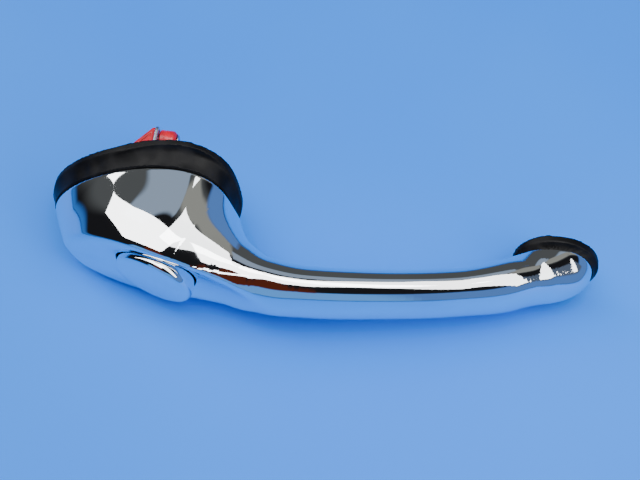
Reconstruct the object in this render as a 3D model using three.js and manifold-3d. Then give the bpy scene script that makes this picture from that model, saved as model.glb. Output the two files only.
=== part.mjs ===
// Push-button door handle for a car's right-hand door. Millimetres.
// X runs along the handle from the button end to the small end, -Y points away from the door and +Z is up.
// The origin is where the button's axis meets the door. The door leans back at the top by DOOR_LEAN.

import * as THREE from 'three';
import { ParametricGeometry } from 'three/addons/geometries/ParametricGeometry.js';
import { mergeVertices } from 'three/addons/utils/BufferGeometryUtils.js';
import Module from 'manifold-3d';

const wasm = await Module();
wasm.setup();

// ---- Driving dimensions ----

const DOOR_LEAN = THREE.MathUtils.degToRad(20);
const GAP = 0.3;                      // clearance kept between pieces that touch

// Oval outlines in the plane of the door: middle, half sizes, how much blunter the button end is,
// how square the flanks are (1 is an ellipse, less is squarer) and how far the long axis is turned.
const LARGE_SEAT = { x: -9, up: 0, halfLength: 33.2, halfWidth: 21.5, blunt: 0.32, square: 0.8, turn: 0.26 };
const LARGE_FOOT = { x: -8.4, up: -0.6, halfLength: 31.8, halfWidth: 20.5, blunt: 0.1, square: 0.76, turn: 0.27 };
const SMALL_SEAT = { x: 137.8, up: -7.5, halfLength: 14, halfWidth: 11.2, blunt: 0, square: 1, turn: -0.08 };
const SMALL_FOOT = { x: 137.4, up: -7.8, halfLength: 13.2, halfWidth: 9.4, blunt: 0, square: 1, turn: -0.08 };

const LARGE_PAD_THICKNESS = 8;
const SMALL_PAD_THICKNESS = 4.5;
const PAD_LIP = 2;                    // thickness of the thin lip that lies on the door
const LARGE_PAD_OPENING = 18.4;       // radius of the way through for the plunger and its plate

const BELL_DEPTH = 26;                // height of the bell above its foot, before its face is cut
const BELL_REACH = 40;                // height at which the bell's two ends would meet
const WALL = 2.8;                     // thickness of the bell's wall
const FACE_Y = -31.2;                 // the cut face of the bell, on the button's axis
const DISH_SIZE = [42, 10.2, 20.5];   // half sizes of the ball that the thumb dish is cut with
const DISH_X = 9;                     // how far that ball's middle lies from the button's axis
const DISH_LIFT = 7;                  // how far in front of the face that ball's middle lies
const FACE_SLOPE = 0.22;              // how much further out the bell's face lies per millimetre of X

const BUTTON_FACE_Y = -33.8;
const BUTTON_SLOPE = 0.28;            // how much further out the button's face lies per millimetre of X
const BUTTON_RADIUS = 13.7;
const BUTTON_SKIRT_Y = -24.6;         // rear edge of the button
const SEAL_Y = [-26.1, -25.2];        // the seal's two faces, in a groove of the button's skirt
const FACE_BLEND_Y = -29;             // where the slope of the button's face has died out
const BUTTON_INSIDE_Y = -28.9;        // the flat inside the button that the stem and the spring push on
const CUP_REAR_Y = BUTTON_INSIDE_Y + GAP + 0.8;
const BORE_RADIUS = BUTTON_RADIUS + GAP;
const BORE_FLOOR_Y = -19.2;
const SPRING_ROOM_RADIUS = 11.8;
const LEDGE_Y = -18;                  // the flat inside the bell that the back plate is screwed to

const STEM_RADIUS = 4;
const THREAD_RADIUS = 3;
const STEM_SHOULDER_Y = 7;
const STEM_END_Y = 14;
const PLATE_THICKNESS = 2;
const SCREW_REACH = 16;               // distance of the plate's screws from the button's axis
const SCREW_TURN = THREE.MathUtils.degToRad(10);
const SCREW_RADIUS = 1.25;
const SCREW_TIP_Y = LEDGE_Y - 2;      // short of the bore's side, so that a pressed button clears it
const BUSH_END_Y = -13.2;

const BLADE_X = -9.6;                 // outer face of the striker blade
const BLADE_THICKNESS = 1.2;
const BLADE_TIP_Y = 25;
const BLADE_HALF_HEIGHT = 5.5;
const BARREL_Y = 22.2;
const BARREL_RADIUS = 3.5;
const BARREL_LENGTH = 6;

const INSERT_RADIUS = 3.4;
const INSERT_BORE = 2.1;
const LARGE_INSERT = new THREE.Vector3(-26, 0, -6);
const SMALL_INSERT = new THREE.Vector3(138, 0, -7);

// ---- Finishes ----

const finish = (color, roughness, metalness) => new THREE.MeshStandardMaterial({ color, roughness, metalness });
const chrome = () => finish(0xd7dce2, 0.06, 1);
const rubber = () => finish(0x141416, 0.7, 0);
const zincSteel = () => finish(0xaeb3b8, 0.35, 1);
const springSteel = () => finish(0x6d7074, 0.4, 1);
const bronze = () => finish(0xa87b45, 0.45, 1);
const redNylon = () => finish(0xc81f2d, 0.4, 0);

// ---- Solids: closing, joining and cutting ----

// Signed volume of an indexed geometry: negative when its faces point inwards.
function signedVolume(position, index) {
  const [a, b, c] = [new THREE.Vector3(), new THREE.Vector3(), new THREE.Vector3()];
  let volume = 0;
  for (let i = 0; i < index.length; i += 3) {
    a.fromBufferAttribute(position, index[i]);
    b.fromBufferAttribute(position, index[i + 1]);
    c.fromBufferAttribute(position, index[i + 2]);
    volume += a.dot(b.cross(c)) / 6;
  }
  return volume;
}

// Joins equal vertices, drops triangles that have shrunk to a line and turns all faces outwards.
function closed(source) {
  const bare = source.clone();
  bare.deleteAttribute('normal');
  bare.deleteAttribute('uv');
  const merged = mergeVertices(bare, 1e-4);
  const index = [];
  for (let i = 0; i < merged.index.count; i += 3) {
    const [a, b, c] = [0, 1, 2].map((corner) => merged.index.getX(i + corner));
    if (a !== b && b !== c && c !== a) index.push(a, b, c);
  }
  if (signedVolume(merged.attributes.position, index) < 0) index.reverse();
  merged.setIndex(index);
  return merged;
}

function toManifold(source) {
  const geometry = closed(source);
  return new wasm.Manifold(new wasm.Mesh({
    numProp: 3,
    vertProperties: Float32Array.from(geometry.attributes.position.array),
    triVerts: Uint32Array.from(geometry.index.array),
  }));
}

function toGeometry(manifold) {
  const mesh = manifold.getMesh();
  const geometry = new THREE.BufferGeometry();
  geometry.setAttribute('position', new THREE.BufferAttribute(Float32Array.from(mesh.vertProperties), 3));
  geometry.setIndex(Array.from(mesh.triVerts));
  geometry.computeVertexNormals();
  return geometry;
}

const join = (...parts) => parts.map(toManifold).reduce((whole, part) => whole.add(part));
const cut = (whole, ...tools) => tools.map(toManifold).reduce((rest, tool) => rest.subtract(tool), whole);

// A closed skin through rings of points. Each end is closed by a fan to the middle of its ring.
function skin(ringPoint, ringCount, around) {
  const middle = (ring) => {
    const sum = new THREE.Vector3();
    for (let i = 0; i < around; i += 1) sum.add(ringPoint(ring, (2 * Math.PI * i) / around));
    return sum.divideScalar(around);
  };
  const ends = [middle(0), middle(ringCount - 1)];
  const surface = (u, v, target) => {
    const row = Math.round(v * (ringCount + 1)) - 1;
    if (row < 0) return target.copy(ends[0]);
    if (row === ringCount) return target.copy(ends[1]);
    return target.copy(ringPoint(row, 2 * Math.PI * (u % 1)));
  };
  return closed(new ParametricGeometry(surface, around, ringCount + 1));
}

// A turned piece on the button's axis. The profile lists radius and Y.
function turned(profile, segments = 40) {
  return new THREE.LatheGeometry(profile.map(([radius, y]) => new THREE.Vector2(radius, y)), segments);
}

// A turned ring between two radii and two Y values.
function ring(inner, outer, y0, y1, segments = 40) {
  return turned([[inner, y0], [outer, y0], [outer, y1], [inner, y1], [inner, y0]], segments);
}

// A plug with its axis along Y, used to cut holes and to add bosses.
function plug(radius, y0, y1, x = 0, z = 0, segments = 40) {
  return new THREE.CylinderGeometry(radius, radius, Math.abs(y1 - y0), segments).translate(x, (y0 + y1) / 2, z);
}

// An outline in X and Z, extruded along Y from y0 to y1.
function plate(shape, y0, y1, curveSegments = 12) {
  const geometry = new THREE.ExtrudeGeometry(shape, { depth: y1 - y0, bevelEnabled: false, curveSegments });
  return geometry.rotateX(Math.PI / 2).translate(0, y1, 0);
}

// ---- Outlines and planes that follow the door ----

// Y of the door's surface at a height z.
const doorY = (z) => z * Math.tan(DOOR_LEAN);

// A point of an oval outline: X, and the height z that it has when the outline lies on the door.
function ovalPoint(oval, angle, inset = 0, scale = { along: 1, across: 1 }) {
  const along = Math.cos(angle) * (oval.halfLength - inset) * scale.along;
  const side = Math.sign(Math.sin(angle)) * Math.abs(Math.sin(angle)) ** oval.square;
  const across = side * (oval.halfWidth - inset) * (1 + oval.blunt * Math.cos(angle)) * scale.across;
  const x = along * Math.cos(oval.turn) - across * Math.sin(oval.turn);
  const up = along * Math.sin(oval.turn) + across * Math.cos(oval.turn);
  return { x: oval.x + x, z: (oval.up + up) * Math.cos(DOOR_LEAN) };
}

// A dome on an oval foot that starts on the leaning plane and becomes square to the button's axis.
function dome(oval, footY, heights, flank, { inset = 0, squareAt = 24, around = 56 } = {}) {
  const point = (row, angle) => {
    const height = heights[row];
    const { x, z } = ovalPoint(oval, angle, inset, flank(height));
    const lean = 1 - THREE.MathUtils.clamp(height / squareAt, 0, 1);
    return new THREE.Vector3(x, footY + doorY(z) * lean - height, z);
  };
  return skin(point, heights.length, around);
}

// A block that fills the space behind a plane parallel to the door, to trim metal off flush with a seat.
function behindDoor(lift, x0, x1) {
  return new THREE.BoxGeometry(x1 - x0, 40, 120).translate((x0 + x1) / 2, 20, 0)
    .rotateX(-DOOR_LEAN).translate(0, -lift, 0);
}

const steps = (from, to, count) => Array.from({ length: count + 1 }, (_, i) => from + ((to - from) * i) / count);

// ---- Handle body ----

// The grip's middle line, and its half depth (across the door) and half height along it.
const gripLine = new THREE.CatmullRomCurve3([
  new THREE.Vector3(-8, -19, 0),
  new THREE.Vector3(6, -21, 0),
  new THREE.Vector3(20, -24.6, 0),
  new THREE.Vector3(34, -28.6, -0.6),
  new THREE.Vector3(52, -29.4, -1.6),
  new THREE.Vector3(84, -25.2, -3.2),
  new THREE.Vector3(108, -19.8, -5.1),
  new THREE.Vector3(124, -13.8, -6.5),
  new THREE.Vector3(133, -8.6, -7),
  new THREE.Vector3(139, -4, -7.2),
]);
const GRIP_SIZES = [
  { x: -8, depth: 9, height: 11 },
  { x: 8, depth: 13, height: 13 },
  { x: 20, depth: 13.6, height: 13.5 },
  { x: 28, depth: 11, height: 13 },
  { x: 38, depth: 9, height: 12.4 },
  { x: 52, depth: 8.3, height: 12 },
  { x: 84, depth: 7.9, height: 11.4 },
  { x: 104, depth: 7.9, height: 11.3 },
  { x: 121, depth: 8.8, height: 12.1 },
  { x: 131, depth: 8.4, height: 10.8 },
  { x: 139, depth: 6.6, height: 8.2 },
];

function gripSize(x, key) {
  const next = GRIP_SIZES.findIndex((size) => size.x > x);
  if (next < 0) return GRIP_SIZES.at(-1)[key];
  const [a, b] = [GRIP_SIZES[Math.max(next - 1, 0)], GRIP_SIZES[next]];
  const blend = THREE.MathUtils.smoothstep(x, a.x, b.x);
  return THREE.MathUtils.lerp(a[key], b[key], blend);
}

function grip() {
  const sections = 40;
  const point = (row, angle) => {
    const t = row / (sections - 1);
    const middle = gripLine.getPointAt(t);
    const along = gripLine.getTangentAt(t);
    const out = new THREE.Vector3(along.y, -along.x, 0).normalize();
    const depth = gripSize(middle.x, 'depth') * Math.cos(angle);
    const height = gripSize(middle.x, 'height') * Math.sin(angle);
    return middle.addScaledVector(out, depth).add(new THREE.Vector3(0, 0, height));
  };
  return skin(point, sections, 32);
}

// How much of its foot's size a dome still has at a height: the bell narrows mostly at its two ends,
// and its upper and lower flanks stand square on the foot and curve in towards the face.
function bellFlank(height) {
  const h = Math.max(height, 0);
  const along = (1 - (h / BELL_REACH) ** 1.1) ** 0.6;
  return { along, across: 1 - 0.18 * (h / BELL_DEPTH) ** 2.5 };
}

function smallFlank(height) {
  const rest = Math.sqrt(1 - (height / 10) ** 2);
  return { along: rest, across: rest };
}

function handleBody() {
  const bell = dome(LARGE_FOOT, -LARGE_PAD_THICKNESS, steps(0, BELL_DEPTH, 9), bellFlank);
  const smallOptions = { squareAt: 40, around: 40 };
  const smallEnd = dome(SMALL_FOOT, -SMALL_PAD_THICKNESS, steps(0, 9.6, 6), smallFlank, smallOptions);

  const faceTurn = -Math.atan(FACE_SLOPE);
  const faceCut = new THREE.BoxGeometry(120, 30, 80).translate(0, -15, 0).rotateZ(faceTurn)
    .translate(0, FACE_Y, 0);
  const thumbDish = new THREE.SphereGeometry(1, 48, 28).scale(...DISH_SIZE).rotateZ(faceTurn)
    .translate(DISH_X, FACE_Y - DISH_LIFT - FACE_SLOPE * DISH_X, 0);

  const hollow = dome(LARGE_FOOT, -LARGE_PAD_THICKNESS, steps(-3, BELL_DEPTH, 9), bellFlank, { inset: WALL });
  const behindLedge = new THREE.BoxGeometry(120, 40, 80).translate(0, LEDGE_Y + 20, 0);
  const room = toManifold(hollow).intersect(toManifold(behindLedge));
  const plateRecess = plate(plateOutline(2 * GAP), LEDGE_Y, 10, 10).rotateY(-SCREW_TURN);
  const boss = plug(INSERT_RADIUS + GAP + 2.6, LEDGE_Y - 1, doorY(LARGE_INSERT.z) - LARGE_PAD_THICKNESS - 1,
    LARGE_INSERT.x, LARGE_INSERT.z);

  const screwHoles = plateScrewPlaces()
    .map(({ x, z }) => plug(SCREW_RADIUS + GAP, SCREW_TIP_Y - 0.4, LEDGE_Y + 1, x, z, 20));
  const shell = join(bell, grip(), smallEnd).subtract(room).subtract(toManifold(plateRecess)).add(toManifold(boss));
  return toGeometry(cut(
    shell,
    behindDoor(LARGE_PAD_THICKNESS, -60, 60),
    behindDoor(SMALL_PAD_THICKNESS, 60, 200),
    faceCut,
    thumbDish,
    plug(BORE_RADIUS, -60, BORE_FLOOR_Y),
    plug(SPRING_ROOM_RADIUS, BORE_FLOOR_Y - 1, LEDGE_Y + 1),
    plug(INSERT_RADIUS + GAP, -20.5, 0, LARGE_INSERT.x, LARGE_INSERT.z, 24),
    plug(INSERT_RADIUS + GAP, -14, 2, SMALL_INSERT.x, SMALL_INSERT.z, 24),
    ...screwHoles,
  ));
}

// ---- Rubber seats ----

// A seat has a thin lip on the door and a skirt that narrows towards the metal foot.
function seat(lip, foot, thickness, holes) {
  const layers = [
    { outline: lip, lift: 0 },
    { outline: lip, lift: PAD_LIP },
    { outline: foot, lift: PAD_LIP + 0.8 },
    { outline: foot, lift: thickness - GAP },
  ];
  const margin = [0, 0.5, -1.6, -0.2];
  const point = (row, angle) => {
    const { outline, lift } = layers[row];
    const { x, z } = ovalPoint(outline, angle, margin[row]);
    return new THREE.Vector3(x, doorY(z) - lift, z);
  };
  return toGeometry(cut(toManifold(skin(point, layers.length, 56)), ...holes));
}

const insertHole = (place) => plug(INSERT_RADIUS, -40, 20, place.x, place.z, 24);
const largePad = () => seat(LARGE_SEAT, LARGE_FOOT, LARGE_PAD_THICKNESS,
  [plug(LARGE_PAD_OPENING, -40, 20, 0, -1.5, 48), insertHole(LARGE_INSERT)]);
const smallPad = () => seat(SMALL_SEAT, SMALL_FOOT, SMALL_PAD_THICKNESS, [insertHole(SMALL_INSERT)]);

// ---- Button and what moves with it ----

function pushButton() {
  const edge = 2.4;
  const rim = steps(0, Math.PI / 2, 5).map((angle) => [
    BUTTON_RADIUS - edge + edge * Math.sin(angle),
    BUTTON_FACE_Y + edge - edge * Math.cos(angle),
  ]);
  const inner = BUTTON_RADIUS - 2.4;
  const groove = BUTTON_RADIUS - 1.1;
  const upright = turned([
    [0, BUTTON_FACE_Y],
    ...rim,
    [BUTTON_RADIUS, SEAL_Y[0] - GAP],
    [groove, SEAL_Y[0] - GAP],
    [groove, SEAL_Y[1] + GAP],
    [BUTTON_RADIUS, SEAL_Y[1] + GAP],
    [BUTTON_RADIUS, BUTTON_SKIRT_Y],
    [inner, BUTTON_SKIRT_Y],
    [inner, BUTTON_INSIDE_Y],
    [0, BUTTON_INSIDE_Y],
  ], 48);
  // The face and the rounded edge slope; everything behind them is square to the axis.
  const { position } = upright.attributes;
  for (let i = 0; i < position.count; i += 1) {
    const ahead = THREE.MathUtils.clamp((FACE_BLEND_Y - position.getY(i)) / (FACE_BLEND_Y - BUTTON_FACE_Y), 0, 1);
    position.setY(i, position.getY(i) - BUTTON_SLOPE * position.getX(i) * ahead);
  }
  return upright;
}

const buttonSeal = () => ring(BUTTON_RADIUS - 0.8, BUTTON_RADIUS, ...SEAL_Y, 48);
const springCup = () => ring(STEM_RADIUS + 0.4, 10.8, BUTTON_INSIDE_Y + GAP, CUP_REAR_Y);

function plungerStem() {
  const clipY = -11.6;
  return turned([
    [0, BUTTON_INSIDE_Y + GAP],
    [STEM_RADIUS, BUTTON_INSIDE_Y + GAP],
    [STEM_RADIUS, clipY - 0.2],
    [STEM_RADIUS - 0.8, clipY - 0.2],
    [STEM_RADIUS - 0.8, clipY + 1.1],
    [STEM_RADIUS, clipY + 1.1],
    [STEM_RADIUS, STEM_SHOULDER_Y],
    [THREAD_RADIUS, STEM_SHOULDER_Y],
    [THREAD_RADIUS, STEM_END_Y - 0.6],
    [THREAD_RADIUS - 0.6, STEM_END_Y],
    [0, STEM_END_Y],
  ], 32);
}

const stemWasher = () => ring(STEM_RADIUS + 0.4, 7.4, BUSH_END_Y + GAP, BUSH_END_Y + 1.3, 32);

// An open clip: a ring with a mouth a third of the way round.
function retainingClip() {
  const shape = new THREE.Shape();
  const mouth = 0.9;
  shape.absarc(0, 0, 6.4, mouth, 2 * Math.PI - mouth, false);
  shape.absarc(0, 0, STEM_RADIUS - 0.5, 2 * Math.PI - mouth, mouth, true);
  return plate(shape, -11.6, -10.7, 24);
}

// The striker: a foot on the stem's shoulder and a blade that stands into the door.
function strikerBracket() {
  const foot = STEM_SHOULDER_Y + GAP;
  const bend = 1.6;
  const shape = new THREE.Shape();
  shape.moveTo(5.5, foot);
  shape.lineTo(5.5, foot + BLADE_THICKNESS);
  shape.lineTo(BLADE_X + BLADE_THICKNESS + 0.4, foot + BLADE_THICKNESS);
  shape.lineTo(BLADE_X + BLADE_THICKNESS, foot + BLADE_THICKNESS + 0.4);
  shape.lineTo(BLADE_X + BLADE_THICKNESS, BLADE_TIP_Y);
  shape.lineTo(BLADE_X, BLADE_TIP_Y);
  shape.lineTo(BLADE_X, foot + bend);
  shape.absarc(BLADE_X + bend, foot + bend, bend, Math.PI, 1.5 * Math.PI, false);
  shape.lineTo(5.5, foot);
  const depth = 2 * BLADE_HALF_HEIGHT;
  const bracket = new THREE.ExtrudeGeometry(shape, { depth, bevelEnabled: false, curveSegments: 6 })
    .translate(0, 0, -BLADE_HALF_HEIGHT);
  const rivetHole = new THREE.CylinderGeometry(1.5, 1.5, 6, 20).rotateZ(Math.PI / 2)
    .translate(BLADE_X, BARREL_Y, 0);
  return toGeometry(cut(toManifold(bracket), plug(THREAD_RADIUS + GAP, 0, 20, 0, 0, 32), rivetHole));
}

function lockNut() {
  const y = STEM_SHOULDER_Y + 2 * GAP + BLADE_THICKNESS;
  const shape = new THREE.Shape();
  steps(0, 5, 5).forEach((i) => {
    const corner = [5.6 * Math.cos((i * Math.PI) / 3), 5.6 * Math.sin((i * Math.PI) / 3)];
    if (i === 0) shape.moveTo(...corner);
    else shape.lineTo(...corner);
  });
  shape.closePath();
  const bore = new THREE.Path();
  bore.absarc(0, 0, THREAD_RADIUS + GAP, 0, 2 * Math.PI, true);
  shape.holes.push(bore);
  return plate(shape, y, y + 3.4, 16);
}

// A turned piece on the rivet's axis, which runs along X. The profile lists radius and X.
function turnedOnRivet(profile, segments = 28) {
  return turned(profile, segments).rotateZ(-Math.PI / 2).translate(0, BARREL_Y, 0);
}

function bufferBarrel() {
  const start = BLADE_X + BLADE_THICKNESS + GAP;
  const end = start + BARREL_LENGTH;
  const chamfer = 1;
  return turnedOnRivet([
    [1.5, start],
    [BARREL_RADIUS, start],
    [BARREL_RADIUS, end - chamfer],
    [BARREL_RADIUS - chamfer, end],
    [1.5, end],
    [1.5, start],
  ]);
}

// The wedge on the other face of the blade: tall at the blade, sloping down away from it.
function bufferWedge() {
  const near = BLADE_X - GAP;
  const tip = BARREL_Y + 2.8;
  const outline = [[near, 12], [near, tip], [near - 1, tip], [near - 7, 17.4], [near - 7, 14], [near - 4, 12]];
  const shape = new THREE.Shape(outline.map(([x, y]) => new THREE.Vector2(x, y)));
  const body = new THREE.ExtrudeGeometry(shape, { depth: 7, bevelEnabled: false }).translate(0, 0, -3.5);
  const hole = new THREE.CylinderGeometry(1.5, 1.5, 20, 20).rotateZ(Math.PI / 2).translate(near, BARREL_Y, 0);
  return toGeometry(cut(toManifold(body), hole));
}

function bufferRivet() {
  const start = BLADE_X - GAP - 4;
  const end = BLADE_X + BLADE_THICKNESS + GAP + BARREL_LENGTH + GAP;
  return turnedOnRivet([[0, start], [1.2, start], [1.2, end], [2.3, end], [1.9, end + 0.8], [0, end + 0.8]], 20);
}

// A coil spring as one closed bar: the wire's round section swept along the coil.
class Coil extends THREE.Curve {
  constructor(radius, turns, y0, y1) {
    super();
    Object.assign(this, { radius, turns, y0, y1 });
  }

  getPoint(t, target = new THREE.Vector3()) {
    const angle = 2 * Math.PI * this.turns * t;
    const y = THREE.MathUtils.lerp(this.y0, this.y1, t);
    return target.set(this.radius * Math.cos(angle), y, this.radius * Math.sin(angle));
  }
}

function returnSpring() {
  const wire = 0.6;
  const section = new THREE.Shape();
  section.absarc(0, 0, wire, 0, 2 * Math.PI, false);
  const extrudePath = new Coil(10, 3, CUP_REAR_Y + GAP + wire, LEDGE_Y - wire);
  return new THREE.ExtrudeGeometry(section, { steps: 60, curveSegments: 4, bevelEnabled: false, extrudePath });
}

// ---- Fixed pieces inside the bell ----

function plateScrewPlaces() {
  return [0, Math.PI].map((half) => ({
    x: SCREW_REACH * Math.cos(SCREW_TURN + half),
    z: SCREW_REACH * Math.sin(SCREW_TURN + half),
  }));
}

// The back plate's outline: a round middle with an ear for each screw. The recess for it is wider by a margin.
function plateOutline(margin = 0) {
  const [middle, ear] = [12.4 + margin, 3.4 + margin];
  const tangent = Math.acos((middle - ear) / SCREW_REACH);
  const shape = new THREE.Shape();
  shape.absarc(SCREW_REACH, 0, ear, -tangent, tangent, false);
  shape.absarc(0, 0, middle, tangent, Math.PI - tangent, false);
  shape.absarc(-SCREW_REACH, 0, ear, Math.PI - tangent, Math.PI + tangent, false);
  shape.absarc(0, 0, middle, Math.PI + tangent, 2 * Math.PI - tangent, false);
  return shape;
}

function backPlate() {
  const y0 = LEDGE_Y + GAP;
  const blank = plate(plateOutline(), y0, y0 + PLATE_THICKNESS, 10).rotateY(-SCREW_TURN);
  const holes = plateScrewPlaces().map(({ x, z }) => plug(SCREW_RADIUS + GAP, -30, 0, x, z, 20));
  return toGeometry(cut(toManifold(blank), plug(6.8, -30, 0), ...holes));
}

function guideBush() {
  const plateY = LEDGE_Y + GAP;
  return turned([
    [STEM_RADIUS + 0.3, plateY - GAP - 1.2],
    [8.2, plateY - GAP - 1.2],
    [8.2, plateY - GAP],
    [6.5, plateY - GAP],
    [6.5, BUSH_END_Y],
    [STEM_RADIUS + 0.3, BUSH_END_Y],
    [STEM_RADIUS + 0.3, plateY - GAP - 1.2],
  ]);
}

const WASHER_Y = LEDGE_Y + GAP + PLATE_THICKNESS + GAP;
const WASHER_THICKNESS = 0.6;

const plateWasher = ({ x, z }) => ring(SCREW_RADIUS + GAP, 3.1, WASHER_Y, WASHER_Y + WASHER_THICKNESS, 24)
  .translate(x, 0, z);

function plateScrew({ x, z }) {
  const head = WASHER_Y + WASHER_THICKNESS + GAP;
  const screw = turned([
    [0, SCREW_TIP_Y],
    [SCREW_RADIUS, SCREW_TIP_Y],
    [SCREW_RADIUS, head],
    [2.6, head],
    [2.6, head + 0.8],
    [1.8, head + 1.5],
    [0, head + 1.5],
  ], 24);
  const slot = new THREE.BoxGeometry(8, 1.2, 0.8).translate(0, head + 1.5, 0);
  return toGeometry(cut(toManifold(screw), slot)).translate(x, 0, z);
}

const threadedInsert = (place, y0, y1) => ring(INSERT_BORE, INSERT_RADIUS, y0, y1, 24)
  .translate(place.x, 0, place.z);
const largeInsert = () => threadedInsert(LARGE_INSERT, -20, doorY(LARGE_INSERT.z) - LARGE_PAD_THICKNESS - 1);
const smallInsert = () => threadedInsert(SMALL_INSERT, -13.5, doorY(SMALL_INSERT.z) - SMALL_PAD_THICKNESS);

// ---- Assembly ----

const group = new THREE.Group();

function add(name, geometry, material, parent = group) {
  const mesh = new THREE.Mesh(geometry, material);
  mesh.name = name;
  parent.add(mesh);
}

add('handle_body', handleBody(), chrome());
add('large_pad', largePad(), rubber());
add('small_pad', smallPad(), rubber());
add('back_plate', backPlate(), zincSteel());
add('guide_bush', guideBush(), bronze());
['right', 'left'].forEach((side, i) => {
  add(`plate_washer_${side}`, plateWasher(plateScrewPlaces()[i]), zincSteel());
  add(`plate_screw_${side}`, plateScrew(plateScrewPlaces()[i]), zincSteel());
});
add('large_end_insert', largeInsert(), bronze());
add('small_end_insert', smallInsert(), bronze());

// The moving pieces are one group, so that the whole button can be slid along Y.
const button = new THREE.Group();
group.add(button);
add('push_button', pushButton(), chrome(), button);
add('button_seal', buttonSeal(), rubber(), button);
add('spring_cup', springCup(), zincSteel(), button);
add('plunger_stem', plungerStem(), zincSteel(), button);
add('stem_washer', stemWasher(), zincSteel(), button);
add('retaining_clip', retainingClip(), springSteel(), button);
add('striker_bracket', strikerBracket(), zincSteel(), button);
add('lock_nut', lockNut(), zincSteel(), button);
add('buffer_barrel', bufferBarrel(), redNylon(), button);
add('buffer_wedge', bufferWedge(), redNylon(), button);
add('buffer_rivet', bufferRivet(), zincSteel(), button);
add('return_spring', returnSpring(), springSteel(), button);

export default group;
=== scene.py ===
"""Push-button car door handle: the finished look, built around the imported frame.

All shapes are worked out in millimetres in the frame of the part (X along the grip, -Y away from the
door, +Z up) and turned into metres when a mesh is made.
"""
import logging
import math
from dataclasses import dataclass, field
from enum import Enum
from typing import Callable, ClassVar

import bpy
import numpy as np
from mathutils import Matrix, Vector


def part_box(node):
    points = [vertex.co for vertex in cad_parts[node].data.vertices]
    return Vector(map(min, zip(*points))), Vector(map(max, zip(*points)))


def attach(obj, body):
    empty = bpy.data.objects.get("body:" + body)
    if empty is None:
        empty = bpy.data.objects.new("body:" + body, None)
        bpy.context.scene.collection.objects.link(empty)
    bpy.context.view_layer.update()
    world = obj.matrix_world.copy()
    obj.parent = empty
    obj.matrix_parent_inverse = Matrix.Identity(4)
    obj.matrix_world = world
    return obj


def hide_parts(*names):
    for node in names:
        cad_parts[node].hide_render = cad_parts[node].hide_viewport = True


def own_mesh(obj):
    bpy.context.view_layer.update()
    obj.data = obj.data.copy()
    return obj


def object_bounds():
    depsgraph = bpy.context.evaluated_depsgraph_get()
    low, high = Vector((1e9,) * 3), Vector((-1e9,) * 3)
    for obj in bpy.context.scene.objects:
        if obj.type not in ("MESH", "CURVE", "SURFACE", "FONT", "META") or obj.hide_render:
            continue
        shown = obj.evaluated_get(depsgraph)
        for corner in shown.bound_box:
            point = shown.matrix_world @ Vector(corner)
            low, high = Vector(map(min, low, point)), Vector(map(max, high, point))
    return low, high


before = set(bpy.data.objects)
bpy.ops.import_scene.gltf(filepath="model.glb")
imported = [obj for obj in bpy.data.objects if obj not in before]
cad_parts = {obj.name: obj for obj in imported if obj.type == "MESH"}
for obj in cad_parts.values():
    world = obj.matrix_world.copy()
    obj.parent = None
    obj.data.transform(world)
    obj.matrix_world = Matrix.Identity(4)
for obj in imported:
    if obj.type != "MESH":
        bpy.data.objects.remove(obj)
CAD_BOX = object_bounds()

logging.basicConfig(level=logging.INFO, format="%(message)s")
log = logging.getLogger("door_handle")

MM = 0.001
LEAN = math.radians(20)
FACE_SLOPE = 0.22

Points = np.ndarray
Field = Callable[[Points], np.ndarray]
Triple = tuple[float, float, float]
Colour = Triple
Socket = bpy.types.NodeSocket


class Body(Enum):
    """The rigid bodies that a piece can ride on."""

    HANDLE = "handle"
    BUTTON = "button"


class Slot(Enum):
    """The finishes that the record names."""

    CHROME = "chrome"
    RUBBER = "rubber"
    ZINC_STEEL = "zinc_steel"
    SPRING_STEEL = "spring_steel"
    BRONZE = "bronze"
    RED_NYLON = "red_nylon"


# ---- Finishes ----


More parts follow.
